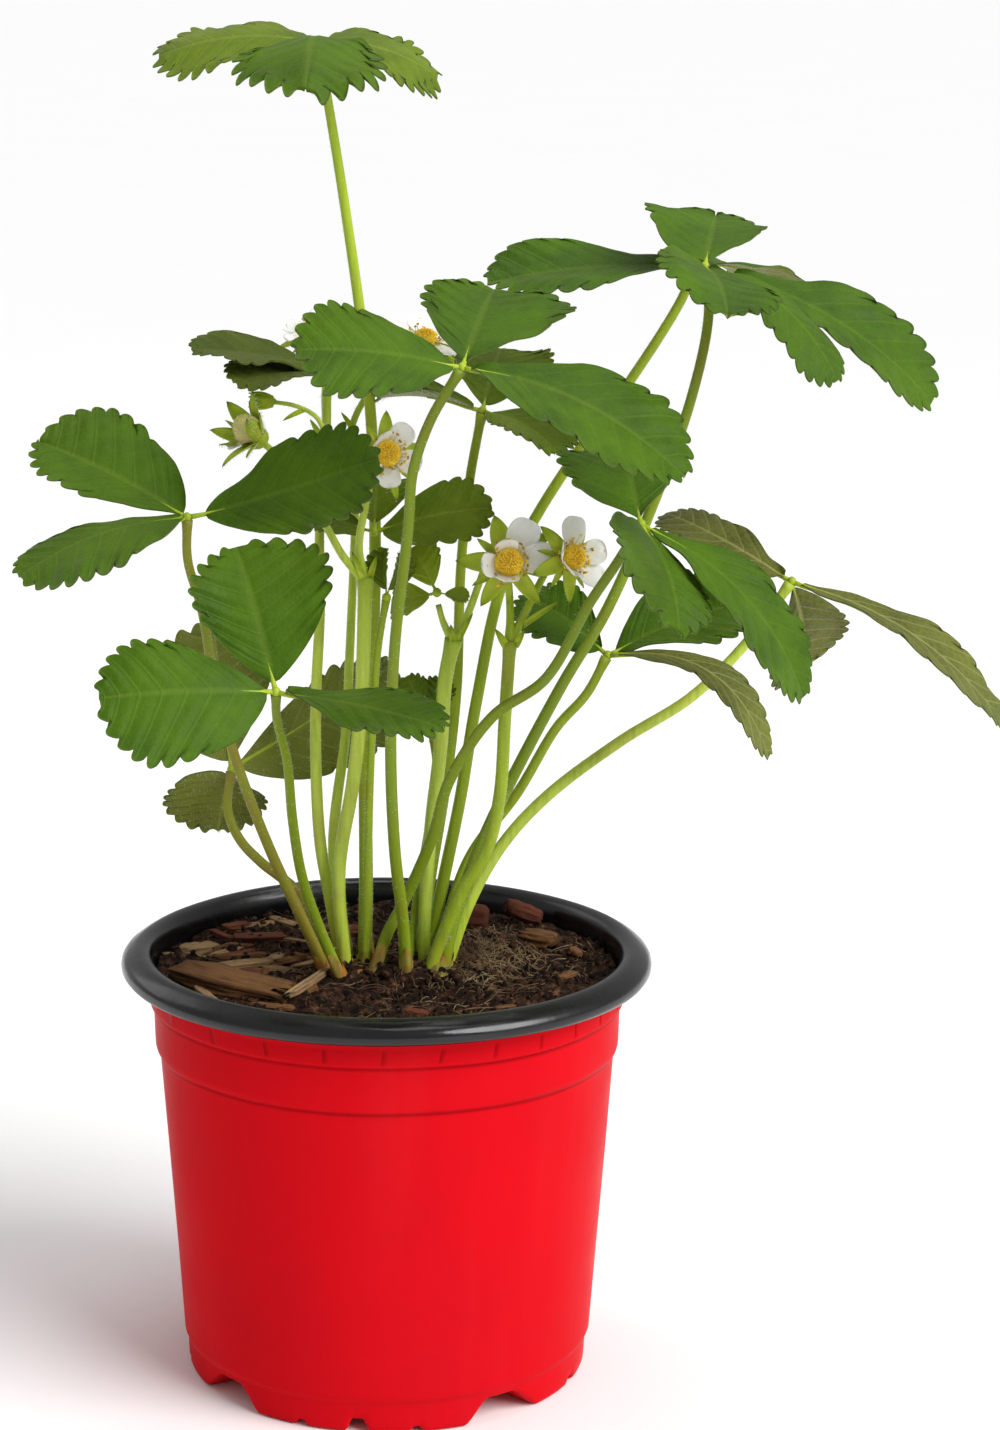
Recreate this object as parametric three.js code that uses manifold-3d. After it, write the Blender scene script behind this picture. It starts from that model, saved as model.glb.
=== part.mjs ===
// Potted strawberry plant in a round nursery pot.
// Millimetres, +Z up. The origin is the middle of the pot's foot, on the ground, and -Y is the front.
import * as THREE from 'three';
import { mergeVertices } from 'three/addons/utils/BufferGeometryUtils.js';
import Module from 'manifold-3d';

const wasm = await Module();
wasm.setup();

// Driving dimensions
const potHeight = 107;
const potRimRadius = 65;
const potMouthRadius = 57.8;
const potBaseRadius = 49.6;
const potWall = 0.8;
const soilLevel = 101;
const gap = 0.3;
const bladeThickness = 0.7;
const toothDepth = 1.5;
const hubRadius = 1.3;

const colours = {
  pot: 0xd81a22,
  soil: 0x3b2a1d,
  bark: 0x8a5a34,
  crown: 0xa5672f,
  stalk: 0x9fb04a,
  blade: 0x44732a,
  calyx: 0x7c9a45,
  petal: 0xf4f2ea,
  anther: 0xe0a818,
  fruit: 0xc9a08a,
};

const plant = new THREE.Group();

function material(colour, roughness = 0.6) {
  return new THREE.MeshStandardMaterial({ color: colour, roughness, metalness: 0 });
}

function addPiece(name, geometry, colour, roughness) {
  const mesh = new THREE.Mesh(geometry, material(colour, roughness));
  mesh.name = name;
  plant.add(mesh);
}

// Solids to join and cut
function solidOf(geometry) {
  const bare = geometry.clone();
  bare.deleteAttribute('normal');
  bare.deleteAttribute('uv');
  const merged = mergeVertices(bare, 1e-4);
  const mesh = new wasm.Mesh({
    numProp: 3,
    vertProperties: new Float32Array(merged.attributes.position.array),
    triVerts: new Uint32Array(merged.index.array),
  });
  return new wasm.Manifold(mesh);
}

function geometryOf(solid) {
  const mesh = solid.getMesh();
  const geometry = new THREE.BufferGeometry();
  geometry.setAttribute('position', new THREE.BufferAttribute(mesh.vertProperties, 3));
  geometry.setIndex(new THREE.BufferAttribute(mesh.triVerts, 1));
  geometry.computeVertexNormals();
  return geometry;
}

function joined(geometries) {
  return geometryOf(geometries.map(solidOf).reduce((whole, next) => whole.add(next)));
}

function meshFrom(points, faces) {
  const geometry = new THREE.BufferGeometry();
  geometry.setAttribute('position', new THREE.Float32BufferAttribute(points.flat(), 3));
  geometry.setIndex(faces.flat());
  geometry.computeVertexNormals();
  return geometry;
}

function radiusOf([x, y]) {
  return Math.hypot(x, y);
}

// A closed body of rings around the Z axis: each ring has one point at each angle,
// and the first and last rings close on a single point. The faces between two rings are
// split the same way whether the rings run outwards or inwards, so nested bodies match.
function ringSolid(angles, rings, firstPoint, lastPoint) {
  const count = angles.length;
  const points = rings.flatMap((ring) => angles.map((angle, i) => ring(angle, i)));
  const first = points.push(firstPoint) - 1;
  const last = points.push(lastPoint) - 1;
  const faces = [];
  for (let i = 0; i < count; i += 1) {
    const next = (i + 1) % count;
    faces.push([first, next, i]);
    for (let ring = 0; ring < rings.length - 1; ring += 1) {
      const low = ring * count;
      const high = low + count;
      if (radiusOf(points[high]) >= radiusOf(points[low])) {
        faces.push([low + i, low + next, high + next]);
        faces.push([low + i, high + next, high + i]);
      } else {
        faces.push([low + i, low + next, high + i]);
        faces.push([low + next, high + next, high + i]);
      }
    }
    const top = (rings.length - 1) * count;
    faces.push([last, top + i, top + next]);
  }
  return meshFrom(points, faces);
}

// Pot: one thin moulded shell. Its foot is notched the same way in all four quarters,
// each mirrored on the next; the notches run inwards as channels round a flat centre.
const footTurn = THREE.MathUtils.degToRad(-98);
const footStops = [0, 3.5, 13, 22, 31, 37.5, 45.5, 56, 67, 78];
const footHeights = [3.5, 0, 0, 0, 0, 6.5, 6.5, 0, 0, 0];
const footCentreRadius = 16;
const footChannelRadius = 24;

function quarterStops() {
  const mirrored = footStops.slice(1).map((stop, i) => [180 - stop, footHeights[i + 1]]).reverse();
  const half = footStops.map((stop, i) => [stop, footHeights[i]]).concat([[90, 0]], mirrored);
  return half.concat(half.map(([stop, height]) => [stop + 180, height]));
}

const footPattern = quarterStops();
const potAngles = footPattern.map(([stop]) => footTurn + THREE.MathUtils.degToRad(stop));

function polar(radius, angle, z) {
  return [radius * Math.cos(angle), radius * Math.sin(angle), z];
}

function footLift(radius, stop) {
  const [, height] = footPattern[stop];
  return height * THREE.MathUtils.smoothstep(radius, footCentreRadius, footChannelRadius);
}

// The outer side from the foot up, as [radius, height]
const potSide = [
  [potBaseRadius + 0.2, 7.5],
  [potBaseRadius + 1.2, 9.5],
  [potMouthRadius - 2, 81],
  [potMouthRadius - 0.8, 84],
  [potMouthRadius - 0.6, 93.6],
  [potMouthRadius, 94.4],
  [potMouthRadius + 0.2, 101.6],
];
// The rolled rim, from under its lip, over the crest and down inside
const potRim = [
  [potRimRadius - 0.8, 101.4],
  [potRimRadius, 103.2],
  [potRimRadius - 1.2, 105.4],
  [potRimRadius - 4, potHeight],
  [potMouthRadius, potHeight - 0.8],
  [potMouthRadius - 0.8, 102],
];

function ringAt(radius, height) {
  return (angle) => polar(radius, angle, height);
}

function footRing(radius, height) {
  return (angle, stop) => polar(radius, angle, height + footLift(radius, stop));
}

function pot() {
  const corner = potBaseRadius - 1.6;
  const outside = [
    footRing(footCentreRadius, 0),
    footRing(footChannelRadius, 0),
    footRing(corner, 0),
    footRing(potBaseRadius, 1.4),
    ...potSide.map(([radius, height]) => ringAt(radius, height)),
    ...potRim.map(([radius, height]) => ringAt(radius, height)),
  ];
  const inside = [
    ringAt(potMouthRadius - 2 - potWall, 80.8),
    ringAt(potBaseRadius + 1.2 - potWall, 9.5),
    footRing(potBaseRadius - potWall, 1.8),
    footRing(corner - 0.4, potWall),
    footRing(footChannelRadius, potWall),
    footRing(footCentreRadius, potWall),
  ];
  return ringSolid(potAngles, outside.concat(inside), [0, 0, 0], [0, 0, potWall]);
}

addPiece('pot', pot(), colours.pot, 0.35);

// Tapered stem along a smooth curve through hand-placed points
const stemSides = 6;

function stem(points, startRadius, endRadius, clearance = 0) {
  const curve = new THREE.CatmullRomCurve3(points.map((point) => new THREE.Vector3(...point)));
  const steps = Math.max(3, Math.round(curve.getLength() / 18));
  const frames = curve.computeFrenetFrames(steps);
  const rings = [];
  for (let step = 0; step <= steps; step += 1) {
    const share = step / steps;
    const centre = curve.getPointAt(share);
    if (step === 0) centre.addScaledVector(frames.tangents[0], -clearance);
    const radius = THREE.MathUtils.lerp(startRadius, endRadius, share) + clearance;
    for (let side = 0; side < stemSides; side += 1) {
      const angle = (side / stemSides) * 2 * Math.PI;
      const point = centre.clone();
      point.addScaledVector(frames.normals[step], radius * Math.cos(angle));
      point.addScaledVector(frames.binormals[step], radius * Math.sin(angle));
      rings.push(point.toArray());
    }
  }
  const faces = [];
  const topRing = steps * stemSides;
  for (let side = 0; side < stemSides; side += 1) {
    const next = (side + 1) % stemSides;
    for (let step = 0; step < steps; step += 1) {
      const low = step * stemSides;
      const high = low + stemSides;
      faces.push([low + side, low + next, high + next]);
      faces.push([low + side, high + next, high + side]);
    }
    if (side > 0 && next > 0) {
      faces.push([0, next, side]);
      faces.push([topRing, topRing + side, topRing + next]);
    }
  }
  return meshFrom(rings, faces);
}

// Leaflet: an obovate, toothed blade folded along its midrib, on a short flat stalk. The
// angle t runs from the blade's foot (0) round one side to its tip (pi).
const leafletStalkHalf = 0.7;
const leafletStart = 0.5;
const firstToothAngle = 0.8;
const lastToothAngle = 3.0;
const toothPeak = 0.6;
const smallToothShare = 0.07;
const baseAngle = 0.35;
const basePower = 0.8;
const tipPower = 1.15;
const sideLean = 0.3;
const sideSkew = 0.16;
const lobeShare = 0.09;

function leafletReach(t) {
  return ((1 - Math.cos(t)) / 2) ** 0.5;
}

// One half's outline from the hub to the tip. Each row also has its point on the midrib,
// further back, as the side veins run forward. Inward is 1 on the half that looks towards the
// leaf's other leaflets and -1 on the half away from them, which is wider and has a round lobe
// at its foot.
function leafletEdge(length, width, teeth, stalk, inward) {
  const bladeLength = length - stalk;
  const halfWidth = (width / 2) * (1 - sideSkew * inward);
  const footPower = basePower + sideLean * inward;
  const reach = (t) => {
    const lobe = lobeShare * Math.max(0, -inward) * Math.exp(-(((t - 0.6) / 0.35) ** 2));
    return (leafletReach(t) - lobe) * bladeLength;
  };
  const spread = (t) => halfWidth * Math.sin(t) ** (t < Math.PI / 2 ? footPower : tipPower);
  const edge = [
    { along: leafletStart, across: leafletStalkHalf, rib: leafletStart },
    { along: stalk, across: leafletStalkHalf, rib: stalk },
  ];
  const depth = Math.min(toothDepth, smallToothShare * width);
  const place = (t, outwards) => {
    const ahead = reach(t + 0.01) - reach(t - 0.01);
    const aside = spread(t + 0.01) - spread(t - 0.01);
    const run = Math.hypot(ahead, aside);
    edge.push({
      along: stalk + reach(t) - (outwards * aside) / run,
      across: spread(t) + (outwards * ahead) / run,
      rib: stalk + leafletReach(t - 0.25) * bladeLength,
    });
  };
  place(baseAngle, 0);
  const pitch = (lastToothAngle - firstToothAngle) / teeth;
  for (let tooth = 0; tooth < teeth; tooth += 1) {
    place(firstToothAngle + tooth * pitch, -depth / 2);
    place(firstToothAngle + (tooth + toothPeak) * pitch, depth / 2);
  }
  edge.push({ along: length, across: 0, rib: length });
  return edge;
}

// A leaflet's own axes: forward along its chord, up out of its upper side, and aside
function leafletFrame(hub, tip, face) {
  const forward = new THREE.Vector3().subVectors(tip, hub);
  const length = forward.length();
  forward.normalize();
  const up = new THREE.Vector3(...face);
  up.addScaledVector(forward, -up.dot(forward)).normalize();
  const aside = new THREE.Vector3().crossVectors(forward, up);
  return { forward, up, aside, length };
}

// How far a leaflet's right half looks towards the leaf's other leaflets, from -1 to 1
function inwardness(aside, hub, others) {
  const towards = new THREE.Vector3();
  for (const tip of others) towards.add(new THREE.Vector3(...tip).sub(hub).normalize());
  return THREE.MathUtils.clamp(towards.dot(aside), -1, 1);
}

function leaflet(hub, spec, others) {
  const { tip, face, width, teeth = 5, fold = 12, arch = 0.06, stalk = 2, bias = 0 } = spec;
  const { forward, up, aside, length } = leafletFrame(hub, new THREE.Vector3(...tip), face);
  const inward = inwardness(aside, hub, others);
  const right = leafletEdge(length, width * (1 + bias), teeth, stalk, inward);
  const left = leafletEdge(length, width * (1 - bias), teeth, stalk, -inward);
  const slope = Math.tan(THREE.MathUtils.degToRad(fold));
  const at = (along, across, lift) => {
    const share = along / length;
    const height = 4 * arch * length * share * (1 - share) + slope * Math.abs(across) + lift;
    const point = hub.clone();
    point.addScaledVector(forward, along);
    point.addScaledVector(up, height);
    point.addScaledVector(aside, across);
    return point.toArray();
  };
  const points = [];
  for (const lift of [bladeThickness / 2, -bladeThickness / 2]) {
    right.forEach(({ along, across, rib }, i) => {
      points.push(at(rib, 0, lift), at(along, across, lift), at(left[i].along, -left[i].across, lift));
    });
  }
  const last = right.length - 1;
  const below = 3 * right.length;
  const corner = (row, column) => 3 * row + (row === last ? 0 : column);
  const faces = [
    [0, below + 1, 1], [0, below, below + 1],
    [0, 2, below + 2], [0, below + 2, below],
  ];
  const bothSides = (a, b, c) => {
    if (b !== c) faces.push([a, b, c], [below + a, below + c, below + b]);
  };
  for (let row = 0; row < last; row += 1) {
    const [rib, nextRib] = [corner(row, 0), corner(row + 1, 0)];
    const [out, nextOut] = [corner(row, 1), corner(row + 1, 1)];
    const [far, nextFar] = [corner(row, 2), corner(row + 1, 2)];
    bothSides(rib, out, nextOut);
    bothSides(rib, nextOut, nextRib);
    bothSides(rib, nextFar, far);
    bothSides(rib, nextRib, nextFar);
    faces.push([out, below + nextOut, nextOut], [out, below + out, below + nextOut]);
    faces.push([far, nextFar, below + nextFar], [far, below + nextFar, below + far]);
  }
  return meshFrom(points, faces);
}

function leafBlade(hubPoint, leaflets) {
  const hub = new THREE.Vector3(...hubPoint);
  const knot = new THREE.OctahedronGeometry(hubRadius);
  knot.translate(...hubPoint);
  const blades = leaflets.map((spec) => {
    const others = leaflets.filter((other) => other !== spec).map((other) => other.tip);
    return leaflet(hub, spec, others);
  });
  return joined([knot, ...blades]);
}

// The stalk ends just short of the knot where the leaflets meet
function stalkEnd(points, hubPoint) {
  const hub = new THREE.Vector3(...hubPoint);
  const before = new THREE.Vector3(...points.at(-1));
  const end = hub.clone().addScaledVector(before.sub(hub).normalize(), hubRadius + gap);
  return [...points, end.toArray()];
}

// Leaves: the stalk's route from its root up, its radii, the hub, and the three leaflets, each
// with its tip, the way its upper side looks, its width, and where they differ from the usual
// its fold, arch, teeth, short stalk and bias (the share of the width its right half gains).
const leaves = {
  top: {
    route: [[-5.5, -1, 98], [-5, 0, 120], [-5, 1, 155], [-3, 4, 189], [-3, 8, 222], [-5, 8, 250],
      [-10, 7, 287], [-14, 6, 312]],
    radii: [1.8, 1.05],
    hub: [-16, 5, 324],
    leaflets: [
      { tip: [-18, -33, 315], face: [0, -1, 3], width: 32, fold: -12, arch: 0.14 },
      { tip: [-53, 4, 321], face: [0, -2, 5], width: 28, fold: -8, arch: 0.08 },
      { tip: [12, 8, 316], face: [0, -2, 5], width: 28, fold: -8, arch: 0.1 },
    ],
  },
  upper_right: {
    route: [[13, -7, 98], [16.5, -6, 115], [22, -5, 131], [28, -5, 145], [42, -9, 174],
      [52, -11, 192], [61, -13, 214], [71, -11, 242], [75, -9, 262]],
    radii: [1.6, 1.15],
    hub: [74, -8, 273],
    leaflets: [
      { tip: [76, -44, 265], face: [1, -1, 3], width: 28, fold: 15 },
      { tip: [79, 20, 283], face: [1, -5, 8], width: 28, fold: 8, teeth: 4 },
      { tip: [103, -27, 249], face: [1, -1, 2], width: 18, fold: -8, arch: 0.13 },
    ],
  },
  back_right: {
    route: [[9.2, 3, 98], [14, 4, 122], [18, 5, 142], [22, 6, 167], [28, 8, 195], [36, 10, 211],
      [47, 12, 228], [58, 13, 243], [70, 14, 262]],
    radii: [1.6, 1.15],
    hub: [74, 14, 271],
    leaflets: [
      { tip: [24, 8, 268], face: [0, -1, 3], width: 26, arch: 0.04 },
      { tip: [130, 4, 240], face: [1, -2, 4], width: 28, arch: 0.1, stalk: 8 },
      { tip: [96, 48, 260], face: [0, -1, 5], width: 28, arch: 0.1, teeth: 4 },
    ],
  },
  centre: {
    route: [[5, -8.5, 98], [4, -12.5, 116], [2, -17, 135], [1, -22, 162], [2, -28, 188],
      [5, -34, 216], [6, -36, 229], [10, -37, 241]],
    radii: [1.5, 1.15],
    hub: [17, -38, 253],
    leaflets: [
      { tip: [-20, -46, 258], face: [0, -2, 3], width: 30, fold: 6, arch: 0.05 },
      { tip: [25, -8, 268], face: [0, -2, 3], width: 34, fold: 8, bias: 0.18 },
      { tip: [66, -56, 231], face: [1, -2, 3], width: 30, fold: 8, arch: 0.11 },
    ],
  },
  centre_back: {
    route: [[7.2, -0.3, 98], [11, 1.5, 125], [14.5, 3, 147], [17, 6, 169], [18, 8, 199],
      [20, 9, 220]],
    radii: [1.5, 1.1],
    hub: [23, 10, 237],
    leaflets: [
      { tip: [-2, 14, 240], face: [0, 0, 1], width: 24, arch: 0.08, teeth: 4 },
      { tip: [40, -8, 230], face: [0, 0, 1], width: 24, arch: 0.08, teeth: 4 },
      { tip: [28, 30, 250], face: [0, -1, 2], width: 26, teeth: 4 },
    ],
  },
  left: {
    route: [[-13, -6.5, 98], [-21, -9, 117], [-28, -12, 134], [-35, -17, 155], [-40, -21, 175],
      [-43, -24, 195], [-46, -26, 207]],
    radii: [1.45, 1.05],
    hub: [-46, -26, 217],
    leaflets: [
      { tip: [-81, -14, 233], face: [0, -2, 3], width: 27, fold: 8, arch: 0.04, stalk: 1, bias: 0.2 },
      { tip: [-83, -46, 207], face: [0, -1, 5], width: 23, fold: -4, arch: 0.08, stalk: 0.8, bias: -0.25 },
      { tip: [-2, -30, 231.5], face: [0, -1, 1], width: 27, fold: 6, arch: -0.03, stalk: 4 },
    ],
  },
  front_left: {
    route: [[-9.5, -11, 98], [-16, -15, 115], [-20, -20, 129], [-22, -28, 145], [-23, -37, 162],
      [-25, -46, 174]],
    radii: [1.4, 1],
    hub: [-25, -50, 181],
    leaflets: [
      { tip: [-34, -40, 212.5], face: [0, -3, 2], width: 31, fold: 4, bias: 0.18 },
      { tip: [-64, -61, 182], face: [0, -3, 2], width: 30, fold: 4, bias: -0.08 },
      { tip: [13, -60, 175], face: [0, -1, 6], width: 25, fold: -2, arch: 0.03 },
    ],
  },
  low_left: {
    route: [[-13, -2, 98], [-21, 0, 119], [-31, 3, 127], [-36, 5, 132], [-39, 7, 139]],
    radii: [1.5, 1.1],
    hub: [-38, 8, 149],
    leaflets: [
      { tip: [-43, 24, 182], face: [0, 1, -2], width: 29, teeth: 4 },
      { tip: [-42, 18, 131], face: [0, 2, 3], width: 25 },
      { tip: [1, 26, 171], face: [0, 2, -1], width: 23, teeth: 4, bias: -0.2 },
    ],
  },
  front_right: {
    route: [[-4, -8.5, 98], [0, -7, 111], [3.5, -7, 118], [11, -12, 137], [15, -16, 152],
      [25, -22, 169], [37, -27, 179], [47, -31, 198], [53, -34, 208]],
    radii: [1.5, 1.15],
    hub: [58, -36, 217],
    leaflets: [
      { tip: [55, -10, 231], face: [0, -2, 3], width: 28 },
      { tip: [65, -63, 198], face: [4, -3, 4], width: 29, arch: 0.08, bias: 0.28 },
      { tip: [95, -46, 179], face: [5, -4, 6], width: 25, arch: 0.13, bias: 0.15 },
    ],
  },
  right: {
    route: [[13.5, -3.2, 98], [20, -1, 117], [28, 2, 131], [39, 4, 143], [57, 4, 157], [74, 4, 168],
      [87, 5, 181]],
    radii: [1.6, 1.2],
    hub: [98, 7, 196],
    leaflets: [
      { tip: [149, -2, 163], face: [0, -1, 5], width: 19, arch: 0.1 },
      { tip: [69, 26, 210], face: [0, -1, 4], width: 21, fold: 4, arch: 0.03, teeth: 4 },
      { tip: [103, 27, 171], face: [1, -3, 1], width: 24, arch: 0.08, teeth: 4 },
    ],
  },
  mid_right: {
    route: [[11.2, -0.6, 98], [20, 3.5, 127], [32, 1, 145], [41, -3, 162], [48, -6, 171]],
    radii: [1.5, 1.1],
    hub: [53, -4, 180],
    leaflets: [
      { tip: [91, -16, 158], face: [0, -1, 5], width: 15, arch: 0.24 },
      { tip: [34, 7, 193], face: [0, -1, 2], width: 20, teeth: 4 },
      { tip: [88, 12, 190], face: [0, -1, 2], width: 27, teeth: 4 },
    ],
  },
};

const stalkBases = [];

for (const [name, { route, radii, hub, leaflets }] of Object.entries(leaves)) {
  const points = stalkEnd(route, hub);
  addPiece(`leaf_stalk_${name}`, stem(points, ...radii), colours.stalk);
  addPiece(`leaf_blade_${name}`, leafBlade(hub, leaflets), colours.blade);
  stalkBases.push(stem(points, ...radii, gap));
}

// Short leafy shoots: the young folded leaf, the pointed one, and the leafy bracts that
// stand on the flower stalks. Their leaflets are small and steeply folded.
const shoots = {
  young: {
    route: [[-5, -5, 98], [-4.5, -5, 130], [-3.5, -6.5, 160], [-2, -8, 182]],
    radii: [1.1, 0.8],
    hub: [0, -9, 195],
    leaflets: [
      { tip: [-0.5, -10, 207], face: [-1, -1, 0], width: 4, fold: 45, teeth: 3 },
      { tip: [3.5, -11, 206], face: [1, -1, 0], width: 4, fold: 45, teeth: 3 },
    ],
  },
  pointed: {
    route: [[5.2, -3.6, 98], [6.8, -2.2, 115], [9.5, -1.5, 133], [12, -2, 150]],
    radii: [1, 0.7],
    hub: [10, -3, 165],
    leaflets: [
      { tip: [5, -5, 175], face: [0, -1, 0], width: 5, teeth: 2 },
      { tip: [13, -2, 174], face: [0, -1, 0], width: 5, teeth: 2 },
    ],
  },
};

for (const [name, { route, radii, hub, leaflets }] of Object.entries(shoots)) {
  const points = stalkEnd(route, hub);
  addPiece(`shoot_stalk_${name}`, stem(points, ...radii), colours.stalk);
  addPiece(`shoot_blade_${name}`, leafBlade(hub, leaflets), colours.blade);
  stalkBases.push(stem(points, ...radii, gap));
}

const bracts = {
  back_left: {
    hub: [-14, 12, 247],
    leaflets: [
      { tip: [-46, 2, 253], face: [0, -1, 4], width: 20, arch: 0.03, teeth: 4 },
      { tip: [-36, -5, 246], face: [0, -1, 4], width: 19, arch: 0.03, teeth: 4 },
      { tip: [4, 40, 250], face: [0, -1, 4], width: 24, teeth: 4 },
    ],
  },
  left: {
    hub: [-3, -4, 210],
    leaflets: [
      { tip: [25, -5, 216], face: [0, -1, 1], width: 18, fold: 20, teeth: 4 },
      { tip: [-2, 3, 223], face: [0, -2, 1], width: 15, teeth: 4 },
      { tip: [-16, 2, 212], face: [0, -1, 2], width: 10, teeth: 3 },
    ],
  },
  centre: {
    hub: [12, -8, 196],
    leaflets: [
      { tip: [1, -3, 192], face: [0, -1, 1], width: 10, teeth: 2 },
      { tip: [6, -3, 206], face: [0, -1, 1], width: 10, teeth: 2 },
      { tip: [19.5, -9, 195], face: [0, -1, 3], width: 6, teeth: 2, stalk: 2 },
    ],
  },
};

for (const [name, { hub, leaflets }] of Object.entries(bracts)) {
  addPiece(`bract_blade_${name}`, leafBlade(hub, leaflets), colours.blade);
}

// Where each flower sits and which way it looks; its green cup reaches back behind it
const flowers = {
  front: { centre: [28.5, -22, 205.5], axis: [0, -3, 1], turn: 1.2, size: 1 },
  right: { centre: [43, -23, 207], axis: [2, -3, 1], turn: 0.4, size: 0.86 },
  centre: { centre: [0, -18, 230.5], axis: [1, -3, 1], turn: 0.9, size: 0.9 },
  back_left: { centre: [-17, 24.5, 255], axis: [-1, -1, 3], turn: 0, size: 0.8 },
  back: { centre: [9, 2, 254.5], axis: [1, -1, 3], turn: 0.6, size: 0.8 },
};
const setting = { centre: [-31.5, -5, 233.5], axis: [-2, -1, 2], turn: 0.3, size: 0.9 };
const cupBack = 3.5;

// A flower's stalk runs straight into the back of its cup
function heel({ centre, axis }) {
  const aim = new THREE.Vector3(...axis).normalize();
  const behind = (distance) => new THREE.Vector3(...centre).addScaledVector(aim, -distance).toArray();
  return [behind(cupBack + 4), behind(cupBack + gap)];
}

// Flower stalks: each list of branches is one fused stem. A branch is its route and its radii.
const bud = { centre: [-28.5, 4, 240], size: [2.4, 1.3, 1.3] };
const bractFork = [[-10, -3, 98], [-14, -3.5, 121], [-16, -4, 133], [-17, -3, 150], [-17, -1, 169],
  [-16, 1, 190], [-16, 4, 210], [-14.5, 8, 228], [-14.2, 10.8, 242]];
const flowerStalks = {
  left: [
    [[[-9.5, -7, 98], [-11.5, -7.5, 127], [-8, -8, 150], [-6, -8.5, 170], [-5, -9, 200]], 1.6, 1.7],
    [[[-5, -9, 199], [-10, -11.5, 205], [-14, -11, 212], [-20, -7, 221], ...heel(setting)], 1, 0.8],
    [[[-5, -9, 199], [-6.5, -10, 207], [-5, -11, 217], ...heel(flowers.centre)], 1, 0.8],
  ],
  back_left: [
    [stalkEnd(bractFork, bracts.back_left.hub), 1.6, 1],
    [[[-14.5, 8, 230], [-15, 15, 240], ...heel(flowers.back_left)], 0.8, 0.6],
    [[[-15.5, 5, 216], [-14, 0, 226], [-16, 0, 236], [-21, 2, 239], [-28, 4, 240]], 0.7, 0.5],
  ],
  back: [
    [[[-8.5, 0.8, 98], [-13, 3, 130], [-10, 8, 158], [-9, 11, 177], [-8, 14, 200], [-7.5, 15, 217],
      [-8.5, 13, 232], [-2.5, 10, 243], ...heel(flowers.back)], 1.5, 0.7],
  ],
  centre: [
    [[[9.2, -4.5, 98], [9.5, -4.5, 120], [11, -5, 140], [13, -7, 158], [14, -9, 175],
      [16, -9, 185]], 1.5, 1.8],
    [[[16, -9, 184], [13.5, -9, 189], [12.3, -8.3, 193.2]], 0.9, 0.7],
    [[[16, -9, 184], [19, -8.5, 190], [22, -7, 198], [25, -3, 206]], 1, 0.8],
  ],
  right: [
    [[[9, -8.5, 98], [13, -9, 110], [18, -11, 123], [24, -13, 134], [27, -15, 148], [28, -17, 167],
      [29, -20, 187]], 1.6, 1.5],
    [[[29, -20, 186], [29, -18, 194], ...heel(flowers.front)], 1, 0.8],
    [[[29, -20, 186], [33, -18, 194], ...heel(flowers.right)], 1, 0.8],
  ],
};

function budGeometry({ centre, size }) {
  const geometry = new THREE.SphereGeometry(1, 6, 4);
  geometry.scale(...size);
  geometry.translate(...centre);
  return geometry;
}

for (const [name, branches] of Object.entries(flowerStalks)) {
  const parts = branches.map((branch) => stem(...branch));
  if (name === 'back_left') parts.push(budGeometry(bud));
  addPiece(`flower_stalk_${name}`, joined(parts), colours.stalk);
  stalkBases.push(stem(...branches[0], gap));
}

// Flowers: a green cup of ten sepals, a ring of five round petals, and a domed centre with
// its anthers. Each is bent up by the same bowl, so the layers stay clear of each other.
const sepalThickness = 0.7;
const petalThickness = 0.6;
const bowl = 0.012;

function bowled(geometry, lift) {
  const position = geometry.attributes.position;
  for (let i = 0; i < position.count; i += 1) {
    const [x, y, z] = [position.getX(i), position.getY(i), position.getZ(i)];
    position.setZ(i, z + lift + bowl * (x * x + y * y));
  }
  return geometry;
}

function starShape(outline) {
  const shape = new THREE.Shape();
  outline.forEach(([radius, angle], i) => {
    const [x, y] = [radius * Math.cos(angle), radius * Math.sin(angle)];
    if (i === 0) shape.moveTo(x, y);
    else shape.lineTo(x, y);
  });
  return shape;
}

// One lobe's outline as [radius, angle across it in degrees], turned into place
function lobes(count, firstAngle, lobe) {
  const outline = [];
  for (let i = 0; i < count; i += 1) {
    const middle = firstAngle + (i / count) * 2 * Math.PI;
    outline.push(...lobe.map(([radius, across]) => [radius, middle + THREE.MathUtils.degToRad(across)]));
  }
  return outline;
}

const petalLobe = [[3.2, -34], [6.4, -31], [9.4, -23], [11.4, -9], [11.4, 9], [9.4, 23], [6.4, 31],
  [3.2, 34]];
const sepalLobe = [[3.4, -34], [4.8, -18], [8.2, -14], [12.6, 0], [8.2, 14], [4.8, 18]];
const bractLobe = [[4.8, -10], [10.2, 0], [4.8, 10]];

function scaledLobe(lobe, size) {
  return lobe.map(([radius, across]) => [radius * size, across]);
}

function placed(geometry, { centre, axis, turn }) {
  const spin = new THREE.Quaternion().setFromAxisAngle(new THREE.Vector3(0, 0, 1), turn);
  const aim = new THREE.Quaternion();
  aim.setFromUnitVectors(new THREE.Vector3(0, 0, 1), new THREE.Vector3(...axis).normalize());
  geometry.applyQuaternion(aim.multiply(spin));
  geometry.translate(...centre);
  return geometry;
}

function flat(outline, depth) {
  return new THREE.ExtrudeGeometry(starShape(outline), { depth, bevelEnabled: false, curveSegments: 4 });
}

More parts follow.
